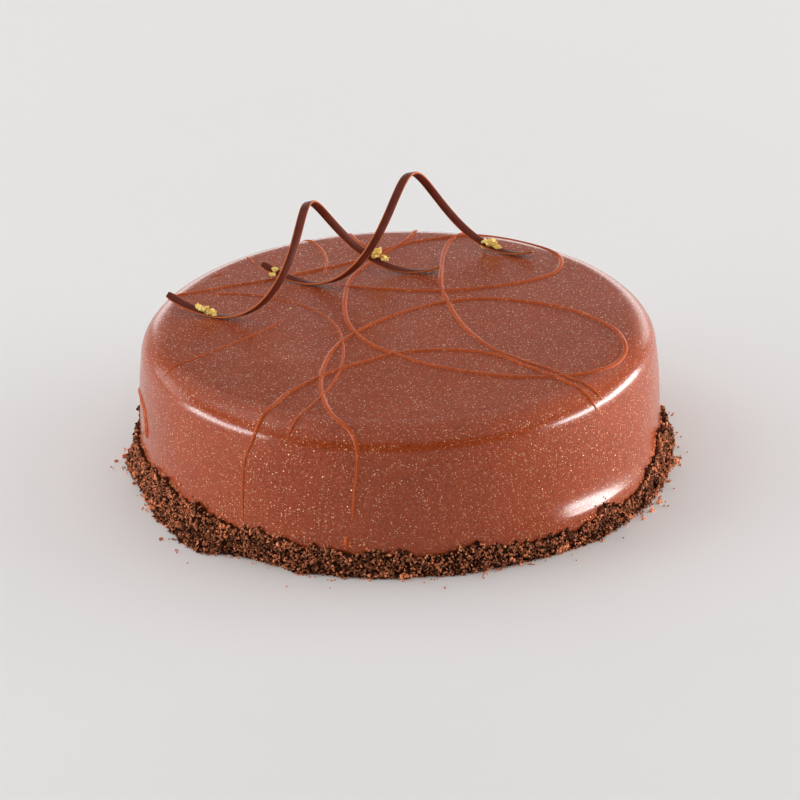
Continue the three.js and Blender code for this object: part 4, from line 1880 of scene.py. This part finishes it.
@dataclass(frozen=True)
class Studio:
    """The pale floor, the soft lights and the camera."""

    floor_half: float = 2.5
    floor_colour: Colour = (0.85, 0.84, 0.83, 1.0)
    floor_dimmed: Colour = (0.8245, 0.8148, 0.8051, 1.0)
    floor_clouds: float = 3.0
    floor_roughness: float = 0.7
    camera_place: Triple = (1.68, -1094.7, 531.55)
    camera_target: Triple = (0.03, 0.0, 22.43)
    camera_roll: float = -1.43
    lens: float = 153.6
    sensor: float = 36.0
    clip: Range = (0.01, 20.0)
    sky_strength: float = 0.36
    sky_front: Colour = (0.1, 0.1, 0.105, 1.0)
    sky_low_back: Colour = (1.2, 1.18, 1.16, 1.0)
    back_span: Range = (-0.2, 0.8)
    low_span: Range = (0.42, 0.3)
    boxes: tuple[Softbox, ...] = (
        Softbox("right_window", azimuth=4, elevation=5, width=1.5, height=0.22, power=31),
        Softbox("left_window", azimuth=-169, elevation=5.5, width=1.1, height=0.27, power=15.5),
        Softbox("left_high", azimuth=-180, elevation=50, width=0.9, height=0.7, power=2),
        Softbox("back_left", azimuth=152, elevation=16, width=0.7, height=0.5, power=2),
        Softbox("back_drop", azimuth=84, elevation=8, width=1.8, height=0.4, power=5),
        Softbox("overhead", azimuth=-90, elevation=89, width=5.0, height=4.4, power=52),
    )

    def floor(self) -> None:
        """Lays the plain pale floor."""
        corners = ((-1, -1), (1, -1), (1, 1), (-1, 1))
        reach = self.floor_half / MM
        points = [Vector((x * reach, y * reach, 0.0)) for x, y in corners]
        floor = mesh_object("floor", points, [(0, 1, 2, 3)])
        material, nodes, shader = new_material("pale_floor")
        place = nodes.add("ShaderNodeTexCoord").outputs["Object"]
        cloud = nodes.noise(place, self.floor_clouds)
        colour = nodes.blend(cloud, self.floor_dimmed, self.floor_colour)
        nodes.feed(shader, {"Base Color": colour, "Roughness": self.floor_roughness})
        floor.data.materials.append(material)

    def world(self) -> None:
        """Makes the surroundings: pale all round, paler low at the back."""
        world = bpy.data.worlds.new("studio")
        bpy.context.scene.world = world
        world.use_nodes = True
        nodes = Nodes(world.node_tree)
        way = nodes.add("ShaderNodeTexCoord").outputs["Generated"]
        split = nodes.add("ShaderNodeSeparateXYZ", {0: way}).outputs
        back = nodes.ramp(split["Y"], 0.0, 1.0, *self.back_span)
        low = nodes.ramp(split["Z"], 0.0, 1.0, *self.low_span)
        share = nodes.math("MULTIPLY", back, low)
        colour = nodes.blend(share, self.sky_front, self.sky_low_back)
        sky = world.node_tree.nodes["Background"]
        nodes.feed(sky, {"Color": colour, "Strength": self.sky_strength})

    def camera(self) -> None:
        """Sets the camera at the photograph's viewing angle."""
        data = bpy.data.cameras.new("camera")
        data.lens = self.lens
        data.sensor_width = self.sensor
        data.clip_start, data.clip_end = self.clip
        place, target = Vector(self.camera_place) * MM, Vector(self.camera_target) * MM
        aim = (target - place).to_track_quat("-Z", "Y").to_matrix()
        aim @= Matrix.Rotation(math.radians(self.camera_roll), 3, "Z")
        camera = bpy.data.objects.new("camera", data)
        camera.matrix_world = Matrix.Translation(place) @ aim.to_4x4()
        bpy.context.scene.collection.objects.link(camera)
        bpy.context.scene.camera = camera

    def build(self) -> None:
        """Builds the studio."""
        self.camera()
        self.floor()
        self.world()
        for box in self.boxes:
            box.build()
        view = bpy.context.scene.view_settings
        view.view_transform = "Standard"
        view.look = "None"


# ---- The cake ------------------------------------------------------------------------


def main() -> None:
    """Builds the studio and the cake, piece by piece."""
    logging.basicConfig(level=logging.INFO, format="%(name)s: %(message)s")
    Studio().build()
    shimmer, mottle = Shimmer().group(), Mottle().group()
    sweep, strew = sweep_tree(), Strewing().tree()
    glaze = GlazedBody()
    glaze.build(GlazeFinish("satin_glaze").material(shimmer))
    thread_finish = GlazeFinish(
        "drizzled_glaze", deep=(0.36, 0.058, 0.012, 1.0), warm=(0.44, 0.08, 0.018, 1.0),
        speck_share=0.2, roughness=0.36, coat=0.1, coat_roughness=0.2,
    )
    Drizzle(glaze).build(sweep, thread_finish.material(shimmer))
    CrumbBorder(glaze).build(strew, CrumbFinish().material(mottle))
    ribbon_finish = RibbonFinish().material(mottle)
    gold = GoldFinish().material(mottle)
    for curl in CURLS:
        hand_over(curl.ribbon(glaze, sweep, ribbon_finish), Slot.RIBBON, curl.node)
        hand_over(curl.leaf(glaze, gold), Slot.RIBBON, curl.node)
    FallenLeaf(glaze).build(gold)


if __name__ == "__main__":
    main()
